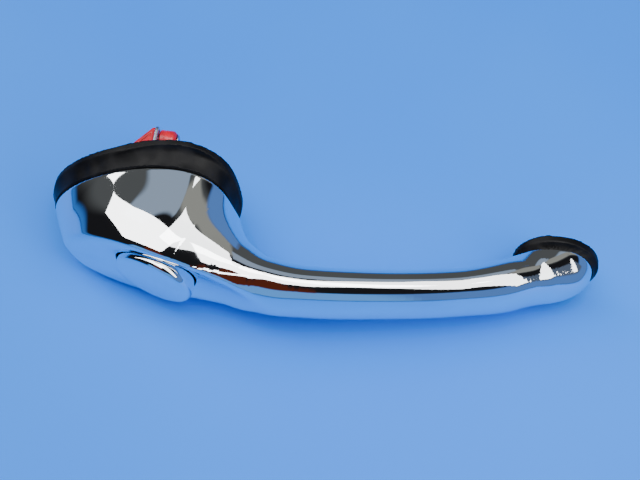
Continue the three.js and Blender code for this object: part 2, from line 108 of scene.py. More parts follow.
class Nodes:
    """A material's node tree, with short calls for the few nodes that the finishes share."""

    def __init__(self, name: str) -> None:
        """Start an empty material with one surface shader.

        Args:
            name: what the material is called.
        """
        self.material = bpy.data.materials.new(name)
        self.material.use_nodes = True
        self.tree = self.material.node_tree
        self.tree.nodes.clear()
        self.shader = self.tree.nodes.new("ShaderNodeBsdfPrincipled")
        output = self.tree.nodes.new("ShaderNodeOutputMaterial")
        self.tree.links.new(self.shader.outputs["BSDF"], output.inputs["Surface"])
        self.place = self.tree.nodes.new("ShaderNodeTexCoord").outputs["Object"]

    def set(self, **values: object) -> None:
        """Set the shader's own sockets; an underscore in a name stands for a space."""
        for name, value in values.items():
            self.shader.inputs[name.replace("_", " ")].default_value = value

    def noise(self, size_mm: float, detail: float = 3.0, stretch: Triple = (1, 1, 1)) -> Socket:
        """A noise pattern.

        Args:
            size_mm: the size of its features in millimetres.
            detail: how many finer layers it has.
            stretch: how much denser it is along X, Y and Z.

        Returns:
            The socket that holds its value from 0 to 1.
        """
        mapping = self.tree.nodes.new("ShaderNodeMapping")
        mapping.inputs["Scale"].default_value = [1 / (size_mm * MM) * s for s in stretch]
        self.tree.links.new(self.place, mapping.inputs["Vector"])
        noise = self.tree.nodes.new("ShaderNodeTexNoise")
        noise.inputs["Scale"].default_value = 1.0
        noise.inputs["Detail"].default_value = detail
        self.tree.links.new(mapping.outputs["Vector"], noise.inputs["Vector"])
        return noise.outputs["Fac"]

    def ramp(self, value: Socket, low: float, high: float, start: float = 0.3, end: float = 0.7) -> Socket:
        """A value mapped smoothly from one range to another.

        Args:
            value: the socket to map.
            low: the result at or below start.
            high: the result at or above end.
            start: where the change begins.
            end: where the change ends.

        Returns:
            The socket that holds the result.
        """
        node = self.tree.nodes.new("ShaderNodeMapRange")
        node.interpolation_type = "SMOOTHSTEP"
        node.inputs["From Min"].default_value = start
        node.inputs["From Max"].default_value = end
        node.inputs["To Min"].default_value = low
        node.inputs["To Max"].default_value = high
        self.tree.links.new(value, node.inputs["Value"])
        return node.outputs["Result"]

    def blend(self, value: Socket, first: Colour, second: Colour) -> Socket:
        """A colour between two others.

        Args:
            value: the socket that says how much of the second colour is taken.
            first: the colour at 0.
            second: the colour at 1.

        Returns:
            The socket that holds the colour.
        """
        mix = self.tree.nodes.new("ShaderNodeMix")
        mix.data_type = "RGBA"
        mix.inputs["A"].default_value = (*first, 1)
        mix.inputs["B"].default_value = (*second, 1)
        self.tree.links.new(value, mix.inputs["Factor"])
        return mix.outputs["Result"]

    def link(self, value: Socket, socket: str) -> None:
        """Feed a socket of the shader."""
        self.tree.links.new(value, self.shader.inputs[socket])

    def bump(
        self, value: Socket, height_mm: float, strength: float = 1.0, under: Socket | None = None
    ) -> Socket:
        """A fine relief.

        Args:
            value: the socket that holds the height from 0 to 1.
            height_mm: the height that 1 stands for.
            strength: how much of it shows.
            under: the relief below it, if there is one.

        Returns:
            The socket that holds the bent normal.
        """
        node = self.tree.nodes.new("ShaderNodeBump")
        node.inputs["Distance"].default_value = height_mm * MM
        node.inputs["Strength"].default_value = strength
        self.tree.links.new(value, node.inputs["Height"])
        if under is not None:
            self.tree.links.new(under, node.inputs["Normal"])
        self.tree.links.new(node.outputs["Normal"], self.shader.inputs["Normal"])
        return node.outputs["Normal"]


@dataclass(frozen=True)
class ChromePlate:
    """Bright plate over polished metal, with a faint haze."""

    slot: ClassVar[Slot] = Slot.CHROME
    clean: Colour = (0.86, 0.88, 0.90)
    hazed: Colour = (0.78, 0.80, 0.83)
    gloss: float = 0.03
    haze: float = 0.085

    def material(self) -> bpy.types.Material:
        """Build the finish.

        Returns:
            the material.
        """
        nodes = Nodes("chrome_plate")
        nodes.set(Metallic=1.0)
        smear = nodes.noise(22, 4, (0.6, 1, 1.4))
        nodes.link(nodes.blend(nodes.ramp(smear, 0, 1, 0.45, 0.8), self.clean, self.hazed), "Base Color")
        nodes.link(nodes.ramp(smear, self.gloss, self.haze, 0.45, 0.9), "Roughness")
        nodes.bump(nodes.noise(9, 1), 0.006, 0.35)
        return nodes.material


@dataclass(frozen=True)
class CastZinc:
    """The bare inside of the casting: dull grey metal with a grainy skin."""

    slot: ClassVar[Slot] = Slot.CHROME
    light: Colour = (0.42, 0.43, 0.44)
    dark: Colour = (0.22, 0.22, 0.23)

    def material(self) -> bpy.types.Material:
        """Build the finish.

        Returns:
            the material.
        """
        nodes = Nodes("cast_zinc")
        nodes.set(Metallic=1.0)
        grain = nodes.noise(1.1, 5)
        nodes.link(nodes.blend(nodes.ramp(nodes.noise(6, 3), 0, 1), self.light, self.dark), "Base Color")
        nodes.link(nodes.ramp(grain, 0.42, 0.62), "Roughness")
        nodes.bump(grain, 0.06, 0.6)
        return nodes.material


@dataclass(frozen=True)
class BlackRubber:
    """Moulded black rubber: a fine grain, softer sheen on worn places and a little dust."""

    slot: ClassVar[Slot] = Slot.RUBBER
    deep: Colour = (0.004, 0.004, 0.0045)
    dusty: Colour = (0.011, 0.011, 0.012)

    def material(self) -> bpy.types.Material:
        """Build the finish.

        Returns:
            the material.
        """
        nodes = Nodes("black_rubber")
        nodes.set(Specular_IOR_Level=0.12)
        cloud = nodes.noise(7, 4)
        nodes.link(nodes.blend(nodes.ramp(cloud, 0, 1, 0.4, 0.75), self.deep, self.dusty), "Base Color")
        nodes.link(nodes.ramp(cloud, 0.34, 0.55), "Roughness")
        coarse = nodes.bump(nodes.noise(2.2, 3), 0.05, 0.5)
        nodes.bump(nodes.noise(0.25, 2), 0.012, 0.5, coarse)
        return nodes.material


@dataclass(frozen=True)
class RedNylon:
    """Moulded red nylon: waxy, slightly uneven in colour, with fine flow marks."""

    slot: ClassVar[Slot] = Slot.RED_NYLON
    bright: Colour = (0.66, 0.012, 0.028)
    deep: Colour = (0.42, 0.006, 0.016)

    def material(self) -> bpy.types.Material:
        """Build the finish.

        Returns:
            the material.
        """
        nodes = Nodes("red_nylon")
        nodes.set(Subsurface_Weight=0.12, Subsurface_Scale=0.0015, Subsurface_Radius=(1.0, 0.2, 0.1))
        flow = nodes.noise(2.6, 3, (1, 0.4, 1))
        nodes.link(nodes.blend(nodes.ramp(flow, 0, 1), self.bright, self.deep), "Base Color")
        nodes.link(nodes.ramp(flow, 0.26, 0.42), "Roughness")
        nodes.bump(nodes.noise(0.5, 3), 0.02, 0.4)
        return nodes.material


@dataclass(frozen=True)
class BrushedMetal:
    """A turned, rolled or plated metal, with fine lines along one way and light wear."""

    name: str
    slot: Slot
    light: Colour
    dark: Colour
    smooth: float
    rough: float
    lines: tuple[float, float, float] = (1, 1, 1)

    def material(self) -> bpy.types.Material:
        """Build the finish.

        Returns:
            the material.
        """
        nodes = Nodes(self.name)
        nodes.set(Metallic=1.0)
        lines = nodes.noise(0.9, 4, self.lines)
        nodes.link(nodes.blend(nodes.ramp(nodes.noise(3.5, 4), 0, 1), self.light, self.dark), "Base Color")
        nodes.link(nodes.ramp(lines, self.smooth, self.rough), "Roughness")
        nodes.bump(lines, 0.012, 0.5)
        return nodes.material


Finish = ChromePlate | CastZinc | BlackRubber | RedNylon | BrushedMetal

CHROME = ChromePlate()
CAST = CastZinc()
RUBBER = BlackRubber()
NYLON = RedNylon()
ZINC = BrushedMetal(
    "zinc_plated_steel", Slot.ZINC_STEEL, (0.66, 0.67, 0.68), (0.50, 0.51, 0.53), 0.22, 0.4, (1, 5, 1)
)
SPRING = BrushedMetal("spring_steel", Slot.SPRING_STEEL, (0.34, 0.34, 0.35), (0.18, 0.18, 0.20), 0.25, 0.45)
BRONZE = BrushedMetal(
    "turned_bronze", Slot.BRONZE, (0.62, 0.42, 0.20), (0.44, 0.28, 0.12), 0.26, 0.45, (1, 6, 1)
)


# ---- Meshes ----


@dataclass
class Shell:
    """A closed mesh in millimetres, before it becomes a piece."""

    points: Points
    faces: list[tuple[int, ...]]
    normals: Points | None = None
    kinds: list[int] = field(default_factory=list)

    def moved(self, matrix: Matrix) -> "Shell":
        """The same shell, turned and moved."""
        turn = np.array(matrix.to_3x3())
        return Shell(self.points @ turn.T + np.array(matrix.translation), self.faces)


def piece(
    name: str,
    shell: Shell,
    finish: Finish,
    body: Body,
    replaces: tuple[str, ...] = (),
    smooth_angle: float = 35,
    more_finishes: tuple[Finish, ...] = (),
) -> bpy.types.Object:
    """Turn a shell into a piece of the object.

    Args:
        name: what the piece is called.
        shell: its mesh in millimetres.
        finish: the finish that it has.
        body: the body that it rides on.
        replaces: the CAD nodes that it stands for.
        smooth_angle: edges sharper than this many degrees stay sharp.
        more_finishes: further finishes, for faces of kind 1 and up.

    Returns:
        The object.
    """
    mesh = bpy.data.meshes.new(name)
    mesh.from_pydata((shell.points * MM).tolist(), [], shell.faces)
    mesh.update()
    for each in (finish, *more_finishes):
        mesh.materials.append(material_of(each))
    if shell.kinds:
        mesh.polygons.foreach_set("material_index", shell.kinds)
    mesh.polygons.foreach_set("use_smooth", [True] * len(mesh.polygons))
    if shell.normals is not None:
        mesh.normals_split_custom_set_from_vertices(shell.normals.tolist())
    else:
        mesh.set_sharp_from_angle(angle=math.radians(smooth_angle))
    obj = bpy.data.objects.new(name, mesh)
    bpy.context.scene.collection.objects.link(obj)
    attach(obj, body.value)
    if replaces:
        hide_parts(*replaces)
    log.info("%s: %d faces", name, len(shell.faces))
    return obj


_materials: dict[Finish, bpy.types.Material] = {}


def material_of(finish: Finish) -> bpy.types.Material:
    """The material of a finish, made once.

    Args:
        finish: the finish.

    Returns:
        its material.
    """
    if finish not in _materials:
        _materials[finish] = finish.material()
    return _materials[finish]


def turned(
    profile: list[tuple[float, float]],
    segments: int = 96,
    ring: bool = False,
    ripple: Callable[[float, float, float], float] | None = None,
) -> Shell:
    """A piece turned on the button's axis.

    Args:
        profile: radius and Y of each point, from one end of the axis to the other, or round a ring.
        segments: how many steps the turn has.
        ring: whether the profile closes on itself.
        ripple: what to add to the radius, given radius, Y and angle.

    Returns:
        The shell.
    """
    points: list[tuple[float, float, float]] = []
    rows: list[list[int]] = []
    for radius, y in profile:
        if radius < 1e-6:
            rows.append([len(points)] * segments)
            points.append((0, y, 0))
            continue
        rows.append(list(range(len(points), len(points) + segments)))
        for i in range(segments):
            angle = 2 * math.pi * i / segments
            r = radius + (ripple(radius, y, angle) if ripple else 0)
            points.append((r * math.cos(angle), y, r * math.sin(angle)))
    pairs = list(zip(rows, rows[1:]))
    if ring:
        pairs.append((rows[-1], rows[0]))
    faces = []
    for low, high in pairs:
        for i in range(segments):
            j = (i + 1) % segments
            face = tuple(dict.fromkeys((low[i], low[j], high[j], high[i])))
            if len(face) > 2:
                faces.append(face)
    return outward(Shell(np.array(points, float), faces))


def washer(inner: float, outer: float, y0: float, y1: float, edge: float = 0.15, segments: int = 72) -> Shell:
    """A flat ring between two radii and two Y values, with broken edges.

    Args:
        inner: the radius of the hole.
        outer: the outer radius.
        y0: the face nearer the button.
        y1: the face nearer the door.
        edge: the size of the broken edges.
        segments: how many steps the turn has.

    Returns:
        the shell.
    """
    profile = [
        (inner + edge, y0), (outer - edge, y0), (outer, y0 + edge), (outer, y1 - edge),
        (outer - edge, y1), (inner + edge, y1), (inner, y1 - edge), (inner, y0 + edge),
    ]
    return turned(profile, segments, ring=True)


@dataclass(frozen=True)
class Thread:
    """A single-start screw thread, cut into a rod or into a bore."""

    start_y: float
    end_y: float
    pitch: float = 0.75
    depth: float = 0.32
    inside: bool = False

    def rows(self, radius: float, per_turn: int = 10) -> list[tuple[float, float]]:
        """Profile points close enough together to carry the thread."""
        count = max(2, round((self.end_y - self.start_y) / self.pitch * per_turn))
        return [(radius, self.start_y + (self.end_y - self.start_y) * i / count) for i in range(count + 1)]

    def ripple(self, radius: float, y: float, angle: float) -> float:
        """How far the thread moves the surface at a height and an angle.

        Args:
            radius: the radius there, which does not matter.
            y: the height along the axis.
            angle: the angle round the axis.

        Returns:
            the change in radius.
        """
        if not self.start_y - 1e-6 <= y <= self.end_y + 1e-6:
            return 0.0
        phase = ((y - self.start_y) / self.pitch - angle / (2 * math.pi)) % 1.0
        groove = max(0.0, 1 - abs(phase - 0.5) / 0.42)
        fade = min(1.0, (y - self.start_y) / self.pitch, (self.end_y - y) / self.pitch)
        return (1 if self.inside else -1) * self.depth * groove * max(fade, 0.0)


def outward(shell: Shell) -> Shell:
    """The shell with its faces turned outwards.

    Args:
        shell: a closed shell.

    Returns:
        the same shell, reversed if it was inside out.
    """
    volume = 0.0
    p = shell.points
    for face in shell.faces:
        for b, c in zip(face[1:], face[2:]):
            volume += float(np.dot(p[face[0]], np.cross(p[b], p[c])))
    if volume < 0:
        shell.faces = [tuple(reversed(f)) for f in shell.faces]
    return shell


def arc(
    centre: tuple[float, float], radius: float, start: float, end: float, steps: int = 6
) -> list[tuple[float, float]]:
    """Points of an arc in radius and Y, from one angle to another in degrees."""
    angles = [math.radians(start + (end - start) * i / steps) for i in range(steps + 1)]
    return [(centre[0] + radius * math.cos(a), centre[1] + radius * math.sin(a)) for a in angles]


# ---- Shapes given by a distance, and the mesher that skins them ----


def soft_min(a: np.ndarray, b: np.ndarray, reach: float) -> np.ndarray:
    """The nearer of two distances, with a fillet of about that reach where they meet."""
    h = np.clip(0.5 + 0.5 * (b - a) / reach, 0, 1)
    return b * (1 - h) + a * h - reach * h * (1 - h)


def soft_max(a: np.ndarray, b: np.ndarray, reach: float) -> np.ndarray:
    """The further of two distances, with a rounded edge of about that reach."""
    return -soft_min(-a, -b, reach)


def gradient(distance: Field, p: Points, step: float = 0.03) -> Points:
    """The slope of a distance at some points.

    Args:
        distance: the shape.
        p: the points, in millimetres.
        step: how far to each side the distance is taken.

    Returns:
        the slope at each point.
    """
    slopes = []
    for axis in range(3):
        shift = np.zeros(3)
        shift[axis] = step
        slopes.append((distance(p + shift) - distance(p - shift)) / (2 * step))
    return np.stack(slopes, -1)


def even(distance: Field) -> Field:
    """The same shape with its distance scaled to true millimetres near the surface.

    Args:
        distance: the shape.

    Returns:
        the scaled shape.
    """

    def scaled(p: Points) -> np.ndarray:
        """The distance divided by its own slope.

        Args:
            p: the points, in millimetres.

        Returns:
            the distance at each point, negative inside.
        """
        base = distance(p)
        slope = np.stack([distance(p + e) - base for e in np.eye(3) * 0.05], -1) / 0.05
        return base / np.maximum(np.linalg.norm(slope, axis=-1), 0.2)

    return scaled


@dataclass
class Skinner:
    """Skins a distance field with even four-sided faces that lie exactly on its surface."""

    low: tuple[float, float, float]
    high: tuple[float, float, float]
    step: float = 0.7
    coarse: int = 4
    smoothing: int = 3

    def samples(self, distance: Field) -> np.ndarray:
        """Distances on the fine grid, worked out only near the surface.

        Args:
            distance: the shape.

        Returns:
            the grid of distances.
        """
        low, high = np.array(self.low), np.array(self.high)
        big = self.step * self.coarse
        cells = np.ceil((high - low) / big).astype(int)
        axes = [low[i] + big * np.arange(cells[i] + 1) for i in range(3)]
        rough = distance(np.stack(np.meshgrid(*axes, indexing="ij"), -1).reshape(-1, 3)).reshape(cells + 1)
        corners = [
            rough[i : cells[0] + i, j : cells[1] + j, k : cells[2] + k]
            for i in (0, 1) for j in (0, 1) for k in (0, 1)
        ]
        near = np.min(np.abs(corners), axis=0) < 1.5 * big
        shape = cells * self.coarse + 1
        fine = np.full(shape, 1e3)
        wanted = np.zeros(shape, bool)
        far = np.where(np.mean(corners, axis=0) < 0, -1e3, 1e3)
        for offset in np.ndindex(*[self.coarse + 1] * 3):
            spot = tuple(slice(o, o + n * self.coarse, self.coarse) for o, n in zip(offset, cells))
            fine[spot] = np.where(wanted[spot], fine[spot], far)
            wanted[spot] |= near
        spots = np.argwhere(wanted)
        blocks = np.array_split(spots, max(1, len(spots) // 200000))
        values = [distance(low + block * self.step) for block in blocks]
        fine[tuple(spots.T)] = np.concatenate(values)
        return fine

    def skin(self, distance: Field) -> Shell:
        """Mesh the surface.

        Args:
            distance: the shape, negative inside.

        Returns:
            A closed shell with normals taken from the shape itself.
        """
        values = self.samples(distance)
        inside = values < 0
        size = np.array(values.shape)
        total = sum(
            inside[i : size[0] - 1 + i, j : size[1] - 1 + j, k : size[2] - 1 + k].astype(np.int8)
            for i in (0, 1) for j in (0, 1) for k in (0, 1)
        )
        crossing = (total > 0) & (total < 8)
        cells = np.argwhere(crossing)
        index = np.full(crossing.shape, -1)
        index[crossing] = np.arange(len(cells))
        points = np.array(self.low) + self._centres(values, cells) * self.step
        faces = self._faces(inside, index)
        points, faces = self._relax(distance, points, faces)
        normals = gradient(distance, points, 0.25)
        normals /= np.maximum(np.linalg.norm(normals, axis=1), 1e-9)[:, None]
        return Shell(points, [tuple(f) for f in faces.tolist()], normals)

    @staticmethod
    def _centres(values: np.ndarray, cells: np.ndarray) -> np.ndarray:
        """The mean of the places where each cell's edges cross the surface, in grid steps.

        Args:
            values: the grid of distances.
            cells: the cells that the surface passes through.

        Returns:
            a point for each cell.
        """
        total = np.zeros((len(cells), 3))
        count = np.zeros(len(cells))
        for axis in range(3):
            others = [a for a in range(3) if a != axis]
            for first in (0, 1):
                for second in (0, 1):
                    start = np.zeros(3, int)
                    start[others[0]], start[others[1]] = first, second
                    end = start.copy()
                    end[axis] = 1
                    a = values[tuple((cells + start).T)]
                    b = values[tuple((cells + end).T)]
                    cut = (a < 0) != (b < 0)
                    share = np.where(cut, a / np.where(cut, a - b, 1), 0)
                    share = np.clip(share, 0, 1)
                    place = np.tile(start.astype(float), (len(cells), 1))
                    place[:, axis] += share
                    total[cut] += place[cut]
                    count[cut] += 1
        return cells + total / count[:, None]

    @staticmethod
    def _faces(inside: np.ndarray, index: np.ndarray) -> np.ndarray:
        """One four-sided face round each grid edge that crosses the surface.

        Args:
            inside: whether each grid point is inside.
            index: the number of the point in each cell.

        Returns:
            the four point numbers of each face.
        """
        size = np.array(inside.shape)
        faces = []
        for axis in range(3):
            b, c = (axis + 1) % 3, (axis + 2) % 3
            head = [slice(None)] * 3
            tail = [slice(None)] * 3
            head[axis] = slice(1, None)
            tail[axis] = slice(0, -1)
            edges = np.argwhere(inside[tuple(head)] != inside[tuple(tail)])
            keep = (edges[:, b] > 0) & (edges[:, c] > 0)
            keep &= (edges[:, b] < size[b] - 1) & (edges[:, c] < size[c] - 1)
            edges = edges[keep]
            step_b, step_c = np.eye(3, dtype=int)[b], np.eye(3, dtype=int)[c]
            around = (edges - step_b - step_c, edges - step_c, edges, edges - step_b)
            quads = np.stack([index[tuple(e.T)] for e in around], 1)
            turn = ~inside[tuple(edges.T)]
            quads[turn] = quads[turn][:, ::-1]
            faces.append(quads)
        return np.concatenate(faces)

    def _relax(self, distance: Field, points: Points, faces: np.ndarray) -> tuple[Points, np.ndarray]:
        """Space the points evenly and pull them back onto the surface each time.

        Args:
            distance: the shape.
            points: the points of the mesh.
            faces: its four-sided faces.

        Returns:
            the moved points, and the faces.
        """
        edges = np.concatenate([faces[:, [i, (i + 1) % 4]] for i in range(4)])
        degree = np.bincount(edges.ravel(), minlength=len(points))
        for turn in range(self.smoothing + 1):
            if turn:
                total = np.zeros_like(points)
                for axis in range(3):
                    total[:, axis] = np.bincount(edges[:, 0], points[edges[:, 1], axis], len(points))
                    total[:, axis] += np.bincount(edges[:, 1], points[edges[:, 0], axis], len(points))
                points = points + 0.6 * (total / np.maximum(degree, 1)[:, None] - points)
            for _ in range(2):
                slope = gradient(distance, points)
                push = distance(points) / np.maximum((slope**2).sum(1), 1e-3)
                push = np.clip(push, -0.5 * self.step, 0.5 * self.step)
                points = points - push[:, None] * slope
        return points, faces


@dataclass(frozen=True)
class Oval:
    """An oval outline in the plane of the door, blunter at the button end."""

    x: float
    up: float
    half_length: float
    half_width: float
    blunt: float
    square: float
    turn: float

    def measure(
        self, p: Points, along: np.ndarray | float = 1.0, across: np.ndarray | float = 1.0, inset: float = 0.0
    ) -> tuple[np.ndarray, np.ndarray]:
        """How far out a point lies, as a share of the outline: 1 on it, less inside.

        Args:
            p: the points, in millimetres.
            along: how much the length is scaled.
            across: how much the width is scaled.
            inset: how far the outline is drawn in.

        Returns:
            the share along the length, and across it.
        """
        dx = p[:, 0] - self.x
        up = p[:, 2] / math.cos(LEAN) - self.up
        a = (dx * math.cos(self.turn) + up * math.sin(self.turn)) / ((self.half_length - inset) * along)
        b = (up * math.cos(self.turn) - dx * math.sin(self.turn)) / ((self.half_width - inset) * across)
        b = b / (1 + self.blunt * np.clip(a, -1, 1))
        return a, np.abs(b) ** (1 / self.square)

    def distance(self, p: Points, inset: float = 0.0) -> np.ndarray:
        """The distance from an upright wall on the outline, in about millimetres."""
        a, b = self.measure(p, inset=inset)
        return (np.sqrt(a**2 + b**2) - 1) * (self.half_width - inset)


LARGE_SEAT = Oval(-9, 0, 33.2, 21.5, 0.32, 0.8, 0.26)
LARGE_FOOT = Oval(-8.4, -0.6, 31.8, 20.5, 0.1, 0.76, 0.27)
SMALL_SEAT = Oval(137.8, -7.5, 14, 11.2, 0, 1, -0.08)
SMALL_FOOT = Oval(137.4, -7.8, 13.2, 9.4, 0, 1, -0.08)
SMALL_DOME = Oval(137.2, -7.3, 12.7, 8.9, 0, 1, 0.10)


def door_y(z: np.ndarray) -> np.ndarray:
    """Y of the door's surface at a height."""
    return z * math.tan(LEAN)


# ---- The casting ----


@dataclass
class HandleCasting:
    """The chromed casting: bell, thumb dish, grip and small foot, hollow behind the button."""

    large_lift: float = 8.0
    small_lift: float = 4.5
    bell_reach: float = 40.0
    bell_depth: float = 26.0
    square_at: float = 24.0
    wall: float = 2.8
    face_y: float = -31.2
    dish_x: float = 9.0
    dish_size: tuple[float, float, float] = (42, 10.2, 20.5)
    dish_lift: float = 7.0
    bore_radius: float = 14.0
    bore_floor_y: float = -19.2
    ledge_y: float = -18.0
    insert: tuple[float, float] = (-26, -6)
    small_insert: tuple[float, float] = (138, -7)
    insert_radius: float = 3.4
    gap: float = 0.3
    bell_girth: float = 15.0
    small_girth: float = 9.0
    small_height: float = 9.2
    bell_fillet: float = 15.0
    small_fillet: float = 7.0
    foot_edge: float = 0.8
    face_edge: float = 2.2
    dish_edge: float = 1.5
    inside_edge: float = 0.5
    middle_x: float = 60.0
    spring_room_radius: float = 11.8
    boss_wall: float = 2.6
    insert_floors: tuple[float, float] = (-20.5, -14)
    recess_sizes: tuple[float, float] = (13.0, 4.0)
    grip_line: tuple[tuple[float, float, float], ...] = (
        (-8, -19, 0), (6, -21, 0), (20, -24.6, 0), (34, -28.6, -0.6), (52, -29.4, -1.6),
        (84, -25.2, -3.2), (108, -19.8, -5.1), (124, -13.8, -6.5), (133, -8.6, -7), (139, -4, -7.2),
    )
    grip_sizes: tuple[tuple[float, float, float], ...] = (
        (-8, 9, 11), (8, 12.4, 13), (20, 13, 13.5), (28, 11, 13), (38, 9, 12.4), (52, 8.3, 12),
        (84, 7.9, 11.4), (104, 7.9, 11.3), (121, 8.8, 12.1), (131, 8.4, 10.8), (139, 6.6, 8.2),
    )

    def __post_init__(self) -> None:
        """Work out the grip's middle line once, as short straight stretches."""
        knots = np.array(self.grip_line, float)
        ends = np.vstack([2 * knots[0] - knots[1], knots, 2 * knots[-1] - knots[-2]])
        stretches = []
        for a, b, c, d in zip(ends, ends[1:], ends[2:], ends[3:]):
            t = np.linspace(0, 1, 10, endpoint=False)[:, None]
            curve = 2 * b + (c - a) * t + (2 * a - 5 * b + 4 * c - d) * t**2 + (3 * b - a - 3 * c + d) * t**3
            stretches.append(0.5 * curve)
        self._line = np.vstack([*stretches, knots[-1:]])
        sizes = np.array(self.grip_sizes, float)
        self._depth = self._eased(self._line[:, 0], sizes[:, 0], sizes[:, 1])
        self._height = self._eased(self._line[:, 0], sizes[:, 0], sizes[:, 2])

    @staticmethod
    def _eased(x: np.ndarray, knots: np.ndarray, values: np.ndarray) -> np.ndarray:
        """Values between knots with a soft start and end to each stretch.

        Args:
            x: where the values are wanted.
            knots: where they are given.
            values: what they are there.

        Returns:
            the values at x.
        """
        i = np.clip(np.searchsorted(knots, x) - 1, 0, len(knots) - 2)
        t = np.clip((x - knots[i]) / (knots[i + 1] - knots[i]), 0, 1)
        t = t * t * (3 - 2 * t)
        return values[i] * (1 - t) + values[i + 1] * t

    def bell(self, p: Points, inset: float = 0.0) -> np.ndarray:
        """The big end: an oval dome that narrows mostly at its two ends.

        Args:
            p: the points, in millimetres.
            inset: how far the dome is drawn in.

        Returns:
            the distance at each point, negative inside.
        """
        door = door_y(p[:, 2])
        height = (door - self.large_lift - p[:, 1]) / (1 + door / self.square_at)
        height = np.where(height < self.square_at, height, -self.large_lift - p[:, 1])
        height = np.clip(height, 0, 0.9 * self.bell_reach)
        along = (1 - (height / self.bell_reach) ** 1.1) ** 0.6
        across = 1 - 0.18 * (height / self.bell_depth) ** 2.5
        a, b = LARGE_FOOT.measure(p, along, across, inset)
        return (np.sqrt(a**2 + b**2) - 1) * self.bell_girth

    def small_end(self, p: Points) -> np.ndarray:
        """The small end: a low dome on its own foot.

        Args:
            p: the points, in millimetres.

        Returns:
            the distance at each point, negative inside.
        """
        height = np.maximum(door_y(p[:, 2]) - self.small_lift - p[:, 1], 0) / self.small_height
        a, b = SMALL_DOME.measure(p)
        return (np.sqrt(a**2 + b**2 + height**2) - 1) * self.small_girth

    def grip(self, p: Points) -> np.ndarray:
        """The grip: an oval section that follows its middle line.

        Args:
            p: the points, in millimetres.

        Returns:
            the distance at each point, negative inside.
        """
        best = np.full(len(p), 1e9)
        depth = np.ones(len(p))
        height = np.ones(len(p))
        up = np.zeros(len(p))
        for i, (start, end) in enumerate(zip(self._line, self._line[1:])):
            run = end - start
            flat = run[:2] @ run[:2]
            t = np.clip(((p[:, 0] - start[0]) * run[0] + (p[:, 1] - start[1]) * run[1]) / flat, 0, 1)
            away = (p[:, 0] - start[0] - t * run[0]) ** 2 + (p[:, 1] - start[1] - t * run[1]) ** 2
            near = away < best
            best = np.where(near, away, best)
            depth = np.where(near, self._depth[i] * (1 - t) + self._depth[i + 1] * t, depth)
            height = np.where(near, self._height[i] * (1 - t) + self._height[i + 1] * t, height)
            up = np.where(near, start[2] + t * run[2], up)
        return (np.sqrt(best / depth**2 + ((p[:, 2] - up) / height) ** 2) - 1) * depth

    def outside(self, p: Points) -> np.ndarray:
        """The outer form, before anything is hollowed out of it.

        Args:
            p: the points, in millimetres.

        Returns:
            the distance at each point, negative inside.
        """
        whole = soft_min(even(self.bell)(p), self.grip(p), self.bell_fillet)
        whole = soft_min(whole, even(self.small_end)(p), self.small_fillet)
        lift = np.where(p[:, 0] < self.middle_x, self.large_lift, self.small_lift)
        behind = (p[:, 1] - door_y(p[:, 2]) + lift) * math.cos(LEAN)
        whole = soft_max(whole, behind, self.foot_edge)
        front = -(p[:, 1] - self.face_y + FACE_SLOPE * p[:, 0]) / math.hypot(1, FACE_SLOPE)
        return soft_max(whole, front, self.face_edge)

    def dish(self, p: Points) -> np.ndarray:
        """The ball that the thumb dish is cut with.

        Args:
            p: the points, in millimetres.

        Returns:
            the distance at each point, negative inside.
        """
        turn = -math.atan(FACE_SLOPE)
        dx = p[:, 0] - self.dish_x
        dy = p[:, 1] - (self.face_y - self.dish_lift - FACE_SLOPE * self.dish_x)
        a = (dx * math.cos(turn) + dy * math.sin(turn)) / self.dish_size[0]
        b = (dy * math.cos(turn) - dx * math.sin(turn)) / self.dish_size[1]
        c = p[:, 2] / self.dish_size[2]
        return (np.sqrt(a**2 + b**2 + c**2) - 1) * self.dish_size[1]

    def hollow(self, p: Points) -> np.ndarray:
        """The room behind the button, the button's bore and the insert holes, as one shape.

        Args:
            p: the points, in millimetres.

        Returns:
            the distance at each point, negative inside.
        """
        radius = np.hypot(p[:, 0], p[:, 2])
        room = np.maximum(even(lambda q: self.bell(q, self.wall))(p), self.ledge_y - p[:, 1])
        bore = np.maximum(radius - self.bore_radius, p[:, 1] - self.bore_floor_y)
        spring_room = np.maximum(radius - self.spring_room_radius, np.abs(p[:, 1] - self.ledge_y) - 3)
        whole = np.minimum(np.minimum(room, self.plate_recess(p)), np.minimum(bore, spring_room))
        boss = np.hypot(p[:, 0] - self.insert[0], p[:, 2] - self.insert[1])
        boss = boss - self.insert_radius - self.gap - self.boss_wall
        boss_end = door_y(np.array(self.insert[1])) - self.large_lift - 1
        boss = np.maximum(boss, p[:, 1] - boss_end)
        whole = np.maximum(whole, -boss)
        for (x, z), floor in zip((self.insert, self.small_insert), self.insert_floors):
            hole = np.hypot(p[:, 0] - x, p[:, 2] - z) - self.insert_radius - self.gap
            whole = np.minimum(whole, np.maximum(hole, floor - p[:, 1]))
        return whole

    def plate_recess(self, p: Points) -> np.ndarray:
        """The recess for the back plate: a round middle with an ear on each side.

        Args:
            p: the points, in millimetres.

        Returns:
            the distance at each point, negative inside.
        """
        turn = BackPlate.screw_turn
        along = np.abs(p[:, 0] * math.cos(turn) + p[:, 2] * math.sin(turn))
        across = np.abs(p[:, 2] * math.cos(turn) - p[:, 0] * math.sin(turn))
        outline = ears(along, across, *self.recess_sizes, BackPlate.screw_reach)
        return np.maximum(outline, self.ledge_y - p[:, 1])

    def build(self) -> bpy.types.Object:
        """Skin the casting and give its inside a bare finish.

        Returns:
            the casting.
        """

        def whole(p: Points) -> np.ndarray:
            """The finished form."""
            body = soft_max(self.outside(p), -self.dish(p), self.dish_edge)
            return soft_max(body, -self.hollow(p), self.inside_edge)

